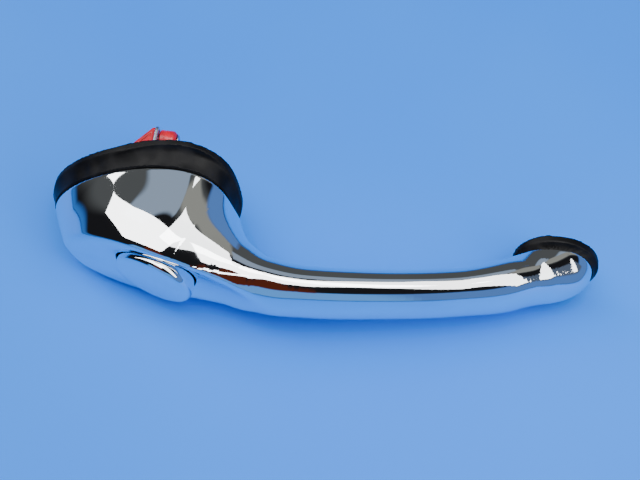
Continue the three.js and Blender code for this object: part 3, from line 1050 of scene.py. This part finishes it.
        low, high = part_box("handle_body")
        margin = Vector((3, 3, 3))
        skinner = Skinner(tuple(low / MM - margin), tuple(high / MM + margin), step=0.54, smoothing=4)
        shell = skinner.skin(whole)
        middles = np.array([shell.points[list(f)].mean(0) for f in shell.faces])
        inner = (self.hollow(middles) < 0.25) & (middles[:, 1] > -27)
        shell.kinds = inner.astype(int).tolist()
        return piece("handle_casting", shell, CHROME, Body.HANDLE, ("handle_body",), more_finishes=(CAST,))


def ears(along: np.ndarray, across: np.ndarray, middle: float, ear: float, reach: float) -> np.ndarray:
    """Distance from the outline of a round middle that runs tangentially into two round ears.

    Args:
        along: how far each point is from the middle, towards the ears.
        across: how far it is to the side.
        middle: the radius of the middle.
        ear: the radius of the ears.
        reach: how far out the ears are.

    Returns:
        the distance at each point, negative inside.
    """
    lean = (middle - ear) / reach
    rise = math.sqrt(1 - lean**2)
    side = across * -lean + along * rise
    at_middle = np.hypot(along, across) - middle
    at_ear = np.hypot(along - reach, across) - ear
    between = across * rise + along * lean - middle
    return np.where(side < 0, at_middle, np.where(side > rise * reach, at_ear, between))


# ---- Rubber seats ----


@dataclass
class RubberSeat:
    """A moulded seat between the casting and the door: a thin lip and a skirt with soft folds."""

    name: str
    node: str
    lip: Oval
    foot: Oval
    thickness: float
    openings: tuple[tuple[float, float, float], ...]
    lip_thickness: float = 2.0
    folds: int = 17
    fold_depth: float = 0.12
    flare: float = 1.7
    gap: float = 0.3

    def form(self, p: Points) -> np.ndarray:
        """The seat's shape.

        Args:
            p: the points, in millimetres.

        Returns:
            the distance at each point, negative inside.
        """
        lift = (door_y(p[:, 2]) - p[:, 1]) * math.cos(LEAN)
        top = (self.thickness - self.gap) * math.cos(LEAN)
        lip = np.maximum(self.lip.distance(p), np.abs(lift - self.lip_thickness / 2) - self.lip_thickness / 2)
        share = np.clip((lift - self.lip_thickness) / (top - self.lip_thickness), 0, 1)
        angle = np.arctan2(p[:, 2], p[:, 0] - self.foot.x)
        fold = self.fold_depth * np.sin(self.folds * angle + 1.7 * np.sin(5 * angle)) * np.sin(math.pi * share)
        wall = even(self.foot.distance)(p) - self.flare * (1 - share) ** 1.6 - 0.25 + fold
        skirt = np.maximum(wall, np.abs(lift - top / 2) - top / 2)
        whole = soft_min(lip, skirt, 1.2)
        for x, z, radius in self.openings:
            whole = soft_max(whole, radius - np.hypot(p[:, 0] - x, p[:, 2] - z), 0.5)
        return whole

    def build(self) -> bpy.types.Object:
        """Skin the seat.

        Returns:
            the seat.
        """
        low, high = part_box(self.node)
        margin = Vector((2, 2, 2))
        skinner = Skinner(tuple(low / MM - margin), tuple(high / MM + margin), step=0.55, smoothing=2)
        return piece(self.name, skinner.skin(self.form), RUBBER, Body.HANDLE, (self.node,))


# ---- Button and plunger ----


@dataclass
class PushButton:
    """The chromed button, its rubber seal and the steel cup inside it."""

    face_y: float = -33.8
    slope: float = 0.28
    radius: float = 13.7
    edge: float = 2.2
    crown: float = 0.25
    inside_y: float = -28.9
    skirt_y: float = -24.6
    seal_y: tuple[float, float] = (-26.1, -25.2)
    blend_y: float = -29.0

    def build(self) -> None:
        """Build the three pieces."""
        self._cap()
        self._seal()
        self._cup()

    def _cap(self) -> None:
        """Turn the button, then slope its face."""
        flat = self.radius - self.edge
        face = [(flat * t, self.face_y - self.crown * (1 - t * t)) for t in np.linspace(0, 1, 9)]
        rim = arc((flat, self.face_y + self.edge), self.edge, -90, 0, 14)[1:]
        groove, inner = self.radius - 1.1, self.radius - 2.4
        top, low = self.seal_y[0] - 0.3, self.seal_y[1] + 0.3
        back = [
            (self.radius, top - 0.1), (self.radius - 0.1, top), (groove, top), (groove, low),
            (self.radius, low),
            (self.radius, self.skirt_y - 0.3), (self.radius - 0.3, self.skirt_y), (inner + 0.2, self.skirt_y),
            (inner, self.skirt_y - 0.2), (inner, self.inside_y + 0.4),
            (inner - 0.4, self.inside_y), (0, self.inside_y),
        ]
        shell = turned([*face, *rim, *back], 160)
        ahead = np.clip((self.blend_y - shell.points[:, 1]) / (self.blend_y - self.face_y), 0, 1)
        shell.points[:, 1] -= self.slope * shell.points[:, 0] * ahead
        piece("push_button_cap", shell, CHROME, Body.BUTTON, ("push_button",), 60)

    def _seal(self) -> None:
        """A rubber ring with a thin wiping lip."""
        inner, outer = self.radius - 0.8, self.radius + 0.1
        y0, y1 = self.seal_y
        profile = [
            (inner, y0 + 0.1), (inner + 0.3, y0), (outer - 0.2, y0 + 0.1), (outer, y0 + 0.3),
            (outer - 0.2, y0 + 0.5),
            (outer, y0 + 0.7), (outer - 0.15, y1), (inner + 0.1, y1),
        ]
        piece("button_seal_ring", turned(profile, 128, ring=True), RUBBER, Body.BUTTON, ("button_seal",))

    def _cup(self) -> None:
        """A pressed steel ring with a shallow channel for the spring's first coil."""
        profile = [
            (4.4, -28.5), (4.5, -28.6), (8.6, -28.6), (9.1, -28.5), (10.3, -28.5), (10.8, -28.3),
            (10.8, -27.9),
            (10.7, -27.8), (10.5, -27.9), (10.2, -28.05), (9.3, -28.05), (8.9, -27.8),
            (4.5, -27.8), (4.4, -27.9),
        ]
        piece("spring_cup_ring", turned(profile, ring=True), ZINC, Body.BUTTON, ("spring_cup",))


@dataclass
class Plunger:
    """The steel stem behind the button, with its washer, clip and lock nut."""

    radius: float = 4.0
    thread_radius: float = 3.0
    head_y: float = -28.6
    shoulder_y: float = 7.0
    end_y: float = 14.0
    clip_y: float = -11.6
    nut_y: float = 8.8
    nut_height: float = 3.4
    nut_corner: float = 5.6

    def build(self) -> None:
        """Build the four pieces."""
        self._stem()
        piece("stem_washer_ring", washer(4.4, 7.4, -12.9, -11.9, 0.2), ZINC, Body.BUTTON, ("stem_washer",))
        self._clip()
        self._nut()

    def _stem(self) -> None:
        """Turn the stem: a head, a clip groove, a shoulder and a threaded end."""
        thread = Thread(self.shoulder_y + 0.6, self.end_y - 0.7)
        r, groove = self.radius, self.radius - 0.8
        profile = [
            (0, self.head_y), (r - 0.3, self.head_y), (r, self.head_y + 0.3),
            (r, self.clip_y - 0.3), (r - 0.1, self.clip_y - 0.2),
            (groove, self.clip_y - 0.2), (groove, self.clip_y + 1.1),
            (r - 0.1, self.clip_y + 1.1), (r, self.clip_y + 1.2),
            (r, self.shoulder_y - 0.4), (r - 0.4, self.shoulder_y),
            (self.thread_radius - 0.3, self.shoulder_y),
            (self.thread_radius - 0.3, self.shoulder_y + 0.5), *thread.rows(self.thread_radius),
            (self.thread_radius - 0.6, self.end_y), (0, self.end_y),
        ]
        piece("plunger_rod", turned(profile, 64, ripple=thread.ripple), ZINC, Body.BUTTON, ("plunger_stem",))

    def _clip(self) -> None:
        """An open spring clip with rounded ends."""
        mouth, y0, y1 = 0.9, -11.6, -10.7
        middle, half = 4.95, 1.45

        def form(p: Points) -> np.ndarray:
            """An arc of round-ended band, flat on both faces.

            Args:
                p: the points, in millimetres.

            Returns:
                the distance at each point, negative inside.
            """
            angle = np.abs(np.arctan2(p[:, 2], p[:, 0]))
            angle = np.maximum(angle, mouth + half / middle * 0.7)
            spot = np.stack([middle * np.cos(angle), middle * np.sin(angle)], -1)
            flat = np.hypot(p[:, 0] - spot[:, 0], np.abs(p[:, 2]) - spot[:, 1]) - half
            return soft_max(flat, np.abs(p[:, 1] - (y0 + y1) / 2) - (y1 - y0) / 2, 0.2)

        shell = Skinner((-7.5, -12.5, -7.5), (7.5, -9.8, 7.5), step=0.22, smoothing=1).skin(form)
        piece("retaining_clip_band", shell, SPRING, Body.BUTTON, ("retaining_clip",))

    def _nut(self) -> None:
        """A six-sided nut with chamfered corners and a plain round hole through it."""
        flat = self.nut_corner * math.cos(math.pi / 6)
        middle = self.nut_y + self.nut_height / 2

        def form(p: Points) -> np.ndarray:
            """Three pairs of flats, cut back at both ends and drilled through.

            Args:
                p: the points, in millimetres.

            Returns:
                the distance at each point, negative inside.
            """
            turns = np.radians([30, 90, 150])
            sides = [np.abs(p[:, 0] * math.cos(a) + p[:, 2] * math.sin(a)) - flat for a in turns]
            rise = np.abs(p[:, 1] - middle) - self.nut_height / 2
            radius = np.hypot(p[:, 0], p[:, 2])
            cone = (radius - flat + 2.0 * (rise + 0.15)) * 0.45
            body = soft_max(np.maximum.reduce(sides), rise, 0.12)
            body = soft_max(body, cone, 0.12)
            return soft_max(body, self.thread_radius + 0.3 - radius, 0.3)

        y0, y1 = self.nut_y - 0.8, self.nut_y + self.nut_height + 0.8
        shell = Skinner((-6.6, y0, -6.6), (6.6, y1, 6.6), step=0.24, smoothing=1).skin(form)
        piece("hex_lock_nut", shell, ZINC, Body.BUTTON, ("lock_nut",))


@dataclass
class Striker:
    """The bent steel bracket on the stem, with the red buffer that works the lock."""

    foot_y: float = 7.3
    thickness: float = 1.2
    blade_x: float = -9.6
    foot_end_x: float = 5.5
    tip_y: float = 25.0
    half_height: float = 5.5
    bend: float = 1.6
    pin_y: float = 22.2
    barrel_radius: float = 3.5
    barrel_end_x: float = -2.1

    def build(self) -> None:
        """Build the four pieces."""
        self._bracket()
        self._barrel()
        self._wedge()
        self._rivet()

    def _bracket(self) -> None:
        """A sheet bent square, with rounded corners and holes for the stem and the rivet."""

        def form(p: Points) -> np.ndarray:
            """Two plates run together through a rounded bend.

            Args:
                p: the points, in millimetres.

            Returns:
                the distance at each point, negative inside.
            """
            x, y, z = p[:, 0] - self.blade_x, p[:, 1] - self.foot_y, np.abs(p[:, 2])
            outer = soft_max(-x, -y, 2 * self.bend)
            inner = soft_max(self.thickness - x, self.thickness - y, 0.8)
            sheet = np.maximum(outer, -inner)
            reach = np.maximum(p[:, 0] - self.foot_end_x, p[:, 1] - self.tip_y)
            edges = soft_max(reach, z - self.half_height, 2.4)
            whole = soft_max(sheet, edges, 0.25)
            stem = 3.3 - np.hypot(p[:, 0], p[:, 2])
            stem = np.where(p[:, 1] < self.foot_y + 3, stem, -9.0)
            pin = 1.5 - np.hypot(p[:, 1] - self.pin_y, p[:, 2])
            pin = np.where(p[:, 0] < self.blade_x + 3, pin, -9.0)
            return soft_max(soft_max(whole, stem, 0.2), pin, 0.2)

        low = (self.blade_x - 1, self.foot_y - 1, -self.half_height - 1)
        high = (self.foot_end_x + 1, self.tip_y + 1, self.half_height + 1)
        shell = Skinner(low, high, step=0.3, smoothing=2).skin(form)
        piece("striker_sheet", shell, ZINC, Body.BUTTON, ("striker_bracket",))

    def _on_pin(self, profile: list[tuple[float, float]], ring: bool, segments: int = 72) -> Shell:
        """Turn a profile of radius and X round the rivet's axis.

        Args:
            profile: radius and X of each point.
            ring: whether the profile closes on itself.
            segments: how many steps the turn has.

        Returns:
            the shell.
        """
        return turned(profile, segments, ring).moved(
            Matrix.Translation((0, self.pin_y, 0)) @ Matrix.Rotation(-math.pi / 2, 4, "Z")
        )

    def _barrel(self) -> None:
        """The round buffer, with a chamfered end, a moulding line and a sunk face."""
        start, end, r = self.blade_x + self.thickness + 0.3, self.barrel_end_x, self.barrel_radius
        profile = [
            (1.5, start + 0.1), (1.6, start), (r - 0.3, start), (r, start + 0.3), (r, start + 1.6),
            (r - 0.12, start + 1.75),
            (r - 0.12, start + 1.95), (r, start + 2.1), (r, end - 1.1), (r - 0.15, end - 0.85),
            (r - 0.85, end - 0.12),
            (r - 1.1, end), (2.7, end), (2.6, end - 0.15), (1.6, end - 0.15), (1.5, end - 0.25),
        ]
        piece("buffer_drum", outward(self._on_pin(profile, True)), NYLON, Body.BUTTON, ("buffer_barrel",))

    def _wedge(self) -> None:
        """The wedge on the other face of the blade, with rounded edges and a hole for the rivet."""
        near, tip = self.blade_x - 0.3, self.pin_y + 2.8
        corners = [(near, 12), (near, tip), (near - 1, tip), (near - 7, 17.4), (near - 7, 14), (near - 4, 12)]

        def form(p: Points) -> np.ndarray:
            """A prism with a hollow on each flank.

            Args:
                p: the points, in millimetres.

            Returns:
                the distance at each point, negative inside.
            """
            side = np.full(len(p), -99.0)
            for (x0, y0), (x1, y1) in zip(corners, corners[1:] + corners[:1]):
                run = math.hypot(x1 - x0, y1 - y0)
                away = ((p[:, 1] - y0) * (x1 - x0) - (p[:, 0] - x0) * (y1 - y0)) / -run
                side = soft_max(side, away, 0.5)
            flank = np.abs(p[:, 2]) - 3.5
            body = soft_max(side, flank, 0.7)
            pocket = np.maximum(side + 1.3, -(flank + 0.5))
            body = soft_max(body, -pocket, 0.35)
            hole = 1.5 - np.hypot(p[:, 1] - self.pin_y, p[:, 2])
            return soft_max(body, hole, 0.25)

        shell = Skinner((near - 8, 11, -4.5), (near + 1, tip + 1, 4.5), step=0.26, smoothing=1).skin(form)
        piece("buffer_block", shell, NYLON, Body.BUTTON, ("buffer_wedge",))

    def _rivet(self) -> None:
        """A rivet with a low domed head."""
        start, end = self.blade_x - 4.3, self.barrel_end_x + 0.3
        profile = [
            (0, start), (1.0, start), (1.2, start + 0.2), (1.2, end), (2.2, end),
            (2.3, end + 0.1), (2.2, end + 0.35),
            (1.8, end + 0.6), (1.1, end + 0.76), (0, end + 0.8),
        ]
        piece("buffer_pin", outward(self._on_pin(profile, False, 48)), ZINC, Body.BUTTON, ("buffer_rivet",))


@dataclass
class ReturnSpring:
    """The coil spring between the cup and the plate; its last turn at each end lies flat."""

    radius: float = 10.0
    wire: float = 0.6
    turns: float = 4.5
    dead: float = 0.75
    start_y: float = -26.9
    end_y: float = -18.6

    def build(self) -> None:
        """Sweep the wire along the coil."""
        steps, around = 360, 14
        points = []
        for i in range(steps + 1):
            turn = self.turns * i / steps
            share = (turn - self.dead) / (self.turns - 2 * self.dead)
            share = min(max(share, 0.0), 1.0)
            y = self.start_y + (self.end_y - self.start_y) * share
            a = 2 * math.pi * turn
            end = min(i, steps - i)
            wire = self.wire * (0.75 if end == 0 else 0.95 if end == 1 else 1.0)
            for j in range(around):
                b = 2 * math.pi * j / around
                r = self.radius + wire * math.cos(b)
                points.append((r * math.cos(a), y + wire * math.sin(b), r * math.sin(a)))
        faces = []
        for i in range(steps):
            for j in range(around):
                k = (j + 1) % around
                faces.append((i * around + j, i * around + k, (i + 1) * around + k, (i + 1) * around + j))
        faces.append(tuple(range(around - 1, -1, -1)))
        faces.append(tuple(steps * around + j for j in range(around)))
        shell = outward(Shell(np.array(points), faces))
        coil = piece("coil_spring", shell, SPRING, Body.HANDLE, ("return_spring",))
        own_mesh(coil)


@dataclass
class BackPlate:
    """The steel plate screwed in behind the button, with the bush that guides the stem."""

    screw_reach: ClassVar[float] = 16.0
    screw_turn: ClassVar[float] = math.radians(10)
    y0: float = -17.7
    thickness: float = 2.0
    screw_radius: float = 1.25
    screw_head_radius: float = 2.6
    screw_tip_y: float = -20.0
    screw_head_y: float = -14.5
    plate_sizes: tuple[float, float] = (12.4, 3.4)
    bush_hole: float = 6.8

    def build(self) -> None:
        """Build the plate, the bush, and a washer and screw on each side."""
        self._plate()
        self._bush()
        for side, turn in (("right", self.screw_turn), ("left", self.screw_turn + math.pi)):
            x, z = self.screw_reach * math.cos(turn), self.screw_reach * math.sin(turn)
            place = Matrix.Translation((x, 0, z))
            ring = washer(1.55, 3.1, -15.4, -14.8, 0.12, 48).moved(place)
            piece(f"screw_washer_{side}", ring, ZINC, Body.HANDLE, (f"plate_washer_{side}",))
            piece(f"slotted_screw_{side}", self._screw(place), ZINC, Body.HANDLE, (f"plate_screw_{side}",))

    def _plate(self) -> None:
        """A round plate with an ear for each screw, rounded where it was punched."""

        def form(p: Points) -> np.ndarray:
            """The punched outline, one plate thick.

            Args:
                p: the points, in millimetres.

            Returns:
                the distance at each point, negative inside.
            """
            along = p[:, 0] * math.cos(self.screw_turn) + p[:, 2] * math.sin(self.screw_turn)
            across = np.abs(p[:, 2] * math.cos(self.screw_turn) - p[:, 0] * math.sin(self.screw_turn))
            outline = ears(np.abs(along), across, *self.plate_sizes, self.screw_reach)
            middle = self.y0 + self.thickness / 2
            body = soft_max(outline, np.abs(p[:, 1] - middle) - self.thickness / 2, 0.4)
            body = soft_max(body, self.bush_hole - np.hypot(p[:, 0], p[:, 2]), 0.25)
            hole = self.screw_radius + 0.3 - np.hypot(np.abs(along) - self.screw_reach, across)
            return soft_max(body, hole, 0.2)

        low, high = (-20.4, self.y0 - 0.9, -14), (20.4, self.y0 + self.thickness + 0.9, 14)
        shell = Skinner(low, high, 0.34, smoothing=1).skin(form)
        piece("punched_plate", shell, ZINC, Body.HANDLE, ("back_plate",))

    def _bush(self) -> None:
        """A bronze bush with a thin flange and a peened end."""
        profile = [
            (4.45, -19.2), (8.0, -19.2), (8.2, -19.0), (8.2, -18.15), (8.05, -18.0), (6.6, -18.0),
            (6.5, -17.9),
            (6.5, -14.6), (6.35, -14.4), (6.35, -14.2), (6.5, -14.0), (6.5, -13.5), (6.2, -13.2),
            (4.6, -13.2),
            (4.3, -13.45), (4.3, -19.05),
        ]
        piece("flanged_bush", turned(profile, ring=True), BRONZE, Body.HANDLE, ("guide_bush",))

    def _screw(self, place: Matrix) -> Shell:
        """A cheese-headed screw with a slot and a domed top.

        Args:
            place: where the screw goes.

        Returns:
            the shell.
        """

        def form(p: Points) -> np.ndarray:
            """Shank and head, less the slot.

            Args:
                p: the points, in millimetres.

            Returns:
                the distance at each point, negative inside.
            """
            radius = np.hypot(p[:, 0], p[:, 2])
            middle = (self.screw_tip_y + self.screw_head_y) / 2
            half = (self.screw_head_y - self.screw_tip_y) / 2
            shank = np.maximum(radius - self.screw_radius, np.abs(p[:, 1] - middle) - half)
            top = -13.0 - 0.5 * (radius / self.screw_head_radius) ** 2
            ends = np.maximum(p[:, 1] - top, self.screw_head_y - p[:, 1])
            head = soft_max(radius - self.screw_head_radius, ends, 0.2)
            slot = np.maximum(np.abs(p[:, 2]) - 0.4, -13.75 - p[:, 1])
            return np.minimum(shank, soft_max(head, -slot, 0.08))

        return Skinner((-3.6, -21.8, -3.6), (3.6, -12.2, 3.6), 0.22, smoothing=1).skin(form).moved(place)


@dataclass
class ThreadedInsert:
    """A bronze insert that takes the fixing screw from inside the door."""

    name: str
    node: str
    x: float
    z: float
    start_y: float
    end_y: float
    bore: float = 2.1
    radius: float = 3.4

    def build(self) -> None:
        """Turn the insert, threaded inside."""
        thread = Thread(self.start_y + 0.5, self.end_y - 0.5, 0.8, 0.3, inside=True)
        outer = [
            (self.bore + 0.4, self.start_y), (self.radius - 0.2, self.start_y),
            (self.radius, self.start_y + 0.2),
            (self.radius, self.end_y - 0.2), (self.radius - 0.2, self.end_y), (self.bore + 0.4, self.end_y),
        ]
        profile = [*outer, *reversed(thread.rows(self.bore))]

        def ripple(radius: float, y: float, angle: float) -> float:
            """The thread, on the bore only."""
            return thread.ripple(radius, y, angle) if radius < self.bore + 0.1 else 0.0

        shell = turned(profile, 48, ring=True, ripple=ripple).moved(Matrix.Translation((self.x, 0, self.z)))
        piece(self.name, shell, BRONZE, Body.HANDLE, (self.node,))


# ---- Studio ----


@dataclass(frozen=True)
class SoftLight:
    """One soft box: where it hangs, what it faces, its size, its turn and its strength."""

    name: str
    place: tuple[float, float, float]
    size: tuple[float, float]
    turn: float
    power: float
    colour: Colour = (1, 1, 1)

    def build(self) -> None:
        """Hang the light, facing down."""
        data = bpy.data.lights.new(self.name, "AREA")
        data.shape = "RECTANGLE"
        data.size, data.size_y = self.size
        data.energy = self.power
        data.color = self.colour
        obj = bpy.data.objects.new(self.name, data)
        obj.matrix_world = Matrix.Translation(self.place) @ Matrix.Rotation(math.radians(self.turn), 4, "Z")
        bpy.context.scene.collection.objects.link(obj)


@dataclass(frozen=True)
class Wall:
    """A soft-edged patch of the room round the table, in degrees seen from the table.

    The bearing is 0 towards -Y and 90 towards +X.
    """

    bearing: float
    height: float
    half_width: float
    half_height: float
    soft: float
    colour: Colour


@dataclass
class Room:
    """A dark room with a few paler walls, for the bright metal to mirror."""

    dark: Colour = (0.012, 0.012, 0.014)
    walls: tuple[Wall, ...] = (
        Wall(0, -2, 179.9, 3, 6, (0.03, 0.17, 0.62)),
        Wall(180, 36, 62, 28, 10, (0.085, 0.09, 0.092)),
        Wall(194, 60, 46, 9, 5, (0.30, 0.38, 0.50)),
        Wall(132, 46, 12, 14, 5, (0.30, 0.30, 0.27)),
        Wall(4, 0, 34, 27, 4, (0.11, 0.38, 0.97)),
        Wall(88, 0, 62, 26, 8, (0.09, 0.22, 0.60)),
        Wall(66, 32, 16, 10, 6, (0.10, 0.13, 0.19)),
        Wall(-4, 46, 13, 17, 5, (0.10, 0.020, 0.010)),
    )

    def build(self) -> None:
        """Paint the room."""
        world = bpy.data.worlds.new("room")
        world.use_nodes = True
        tree = world.node_tree
        place = tree.nodes.new("ShaderNodeTexCoord").outputs["Generated"]
        colour = None
        for wall in self.walls:
            mask = self._mask(tree, place, wall)
            mix = tree.nodes.new("ShaderNodeMix")
            mix.data_type = "RGBA"
            mix.inputs["A"].default_value = (*self.dark, 1)
            mix.inputs["B"].default_value = (*wall.colour, 1)
            tree.links.new(mask, mix.inputs["Factor"])
            if colour is not None:
                tree.links.new(colour, mix.inputs["A"])
            colour = mix.outputs["Result"]
        tree.links.new(colour, tree.nodes["Background"].inputs["Color"])
        bpy.context.scene.world = world

    @staticmethod
    def _mask(tree: bpy.types.NodeTree, place: Socket, wall: Wall) -> Socket:
        """The share of a wall in each direction of the room.

        Args:
            tree: the room's node tree.
            place: the direction.
            wall: the wall.

        Returns:
            the socket that holds the share, from 0 to 1.
        """
        turn = tree.nodes.new("ShaderNodeVectorRotate")
        turn.rotation_type = "Z_AXIS"
        turn.inputs["Angle"].default_value = -math.radians(wall.bearing)
        tree.links.new(place, turn.inputs["Vector"])
        split = tree.nodes.new("ShaderNodeSeparateXYZ")
        tree.links.new(turn.outputs["Vector"], split.inputs["Vector"])
        back = Room._math(tree, "MULTIPLY", split.outputs["Y"], -1.0)
        bearing = Room._math(tree, "ARCTAN2", split.outputs["X"], back)
        height = Room._math(tree, "ARCSINE", split.outputs["Z"])
        height = Room._math(tree, "SUBTRACT", height, math.radians(wall.height))
        shares = []
        for angle, half in ((bearing, wall.half_width), (height, wall.half_height)):
            edge = tree.nodes.new("ShaderNodeMapRange")
            edge.interpolation_type = "SMOOTHSTEP"
            edge.inputs["From Min"].default_value = math.radians(half + wall.soft)
            edge.inputs["From Max"].default_value = math.radians(half)
            tree.links.new(Room._math(tree, "ABSOLUTE", angle), edge.inputs["Value"])
            shares.append(edge.outputs["Result"])
        return Room._math(tree, "MULTIPLY", *shares)

    @staticmethod
    def _math(tree: bpy.types.NodeTree, operation: str, *values: Socket | float) -> Socket:
        """One calculation, on sockets or on plain numbers.

        Args:
            tree: the room's node tree.
            operation: what is worked out.
            values: what it is worked out from.

        Returns:
            the socket that holds the result.
        """
        node = tree.nodes.new("ShaderNodeMath")
        node.operation = operation
        for socket, value in zip(node.inputs, values):
            if isinstance(value, float):
                socket.default_value = value
            else:
                tree.links.new(value, socket)
        return node.outputs["Value"]


@dataclass
class Studio:
    """The plain floor, the soft light and the camera."""

    target: tuple[float, float, float] = (0.05423, -0.01384, 0.00806)
    distance: float = 0.373
    azimuth: float = 3.0
    elevation: float = 64.0
    roll: float = 4.5
    lens: float = 61.875
    lights: tuple[SoftLight, ...] = (
        SoftLight("window", (-0.80, 0.33, 1.0), (2.7, 0.55), -32.0, 26.0),
        SoftLight("tube", (0.56, -0.27, 0.45), (1.1, 0.30), -36.0, 4.0),
    )

    def build(self) -> None:
        """Set the stage."""
        self._floor()
        for light in self.lights:
            light.build()
        Room().build()
        self._camera()

    def _floor(self) -> None:
        """A large pale blue floor that the handle rests on."""
        low, _ = CAD_BOX
        side = 6.0
        z = low[2] - 0.0002
        mesh = bpy.data.meshes.new("floor")
        corners = [(-side, -side, z), (side, -side, z), (side, side, z), (-side, side, z)]
        mesh.from_pydata(corners, [], [(0, 1, 2, 3)])
        nodes = Nodes("floor_sheet")
        cloud = nodes.noise(120, 2)
        nodes.link(nodes.blend(nodes.ramp(cloud, 0, 1), (0.012, 0.235, 1.0), (0.018, 0.25, 1.0)), "Base Color")
        nodes.link(nodes.ramp(cloud, 0.6, 0.7), "Roughness")
        nodes.set(Specular_IOR_Level=0.2)
        mesh.materials.append(nodes.material)
        obj = bpy.data.objects.new("floor", mesh)
        bpy.context.scene.collection.objects.link(obj)

    def _camera(self) -> None:
        """The camera, above and in front of the handle."""
        a, e = math.radians(self.azimuth), math.radians(self.elevation)
        back = Vector((math.sin(a) * math.cos(e), -math.cos(a) * math.cos(e), math.sin(e)))
        data = bpy.data.cameras.new("camera")
        data.lens = self.lens
        data.sensor_width = 36.0
        data.clip_start = 0.01
        obj = bpy.data.objects.new("camera", data)
        turn = back.to_track_quat("Z", "Y").to_matrix().to_4x4()
        obj.matrix_world = (
            Matrix.Translation(Vector(self.target) + back * self.distance)
            @ turn
            @ Matrix.Rotation(math.radians(self.roll), 4, "Z")
        )
        bpy.context.scene.collection.objects.link(obj)
        bpy.context.scene.camera = obj


def main() -> None:
    """Build the handle piece by piece, then the studio round it."""
    HandleCasting().build()
    openings = ((0, -1.5, 18.4), (-26, -6, 3.4))
    RubberSeat("large_seat", "large_pad", LARGE_SEAT, LARGE_FOOT, 8.0, openings).build()
    RubberSeat("small_seat", "small_pad", SMALL_SEAT, SMALL_FOOT, 4.5, ((138, -7, 3.4),), folds=22).build()
    PushButton().build()
    Plunger().build()
    Striker().build()
    ReturnSpring().build()
    BackPlate().build()
    ThreadedInsert("large_end_thread", "large_end_insert", -26, -6, -20, -11.184).build()
    ThreadedInsert("small_end_thread", "small_end_insert", 138, -7, -13.5, -7.048).build()
    Studio().build()


if __name__ == "__main__":
    main()
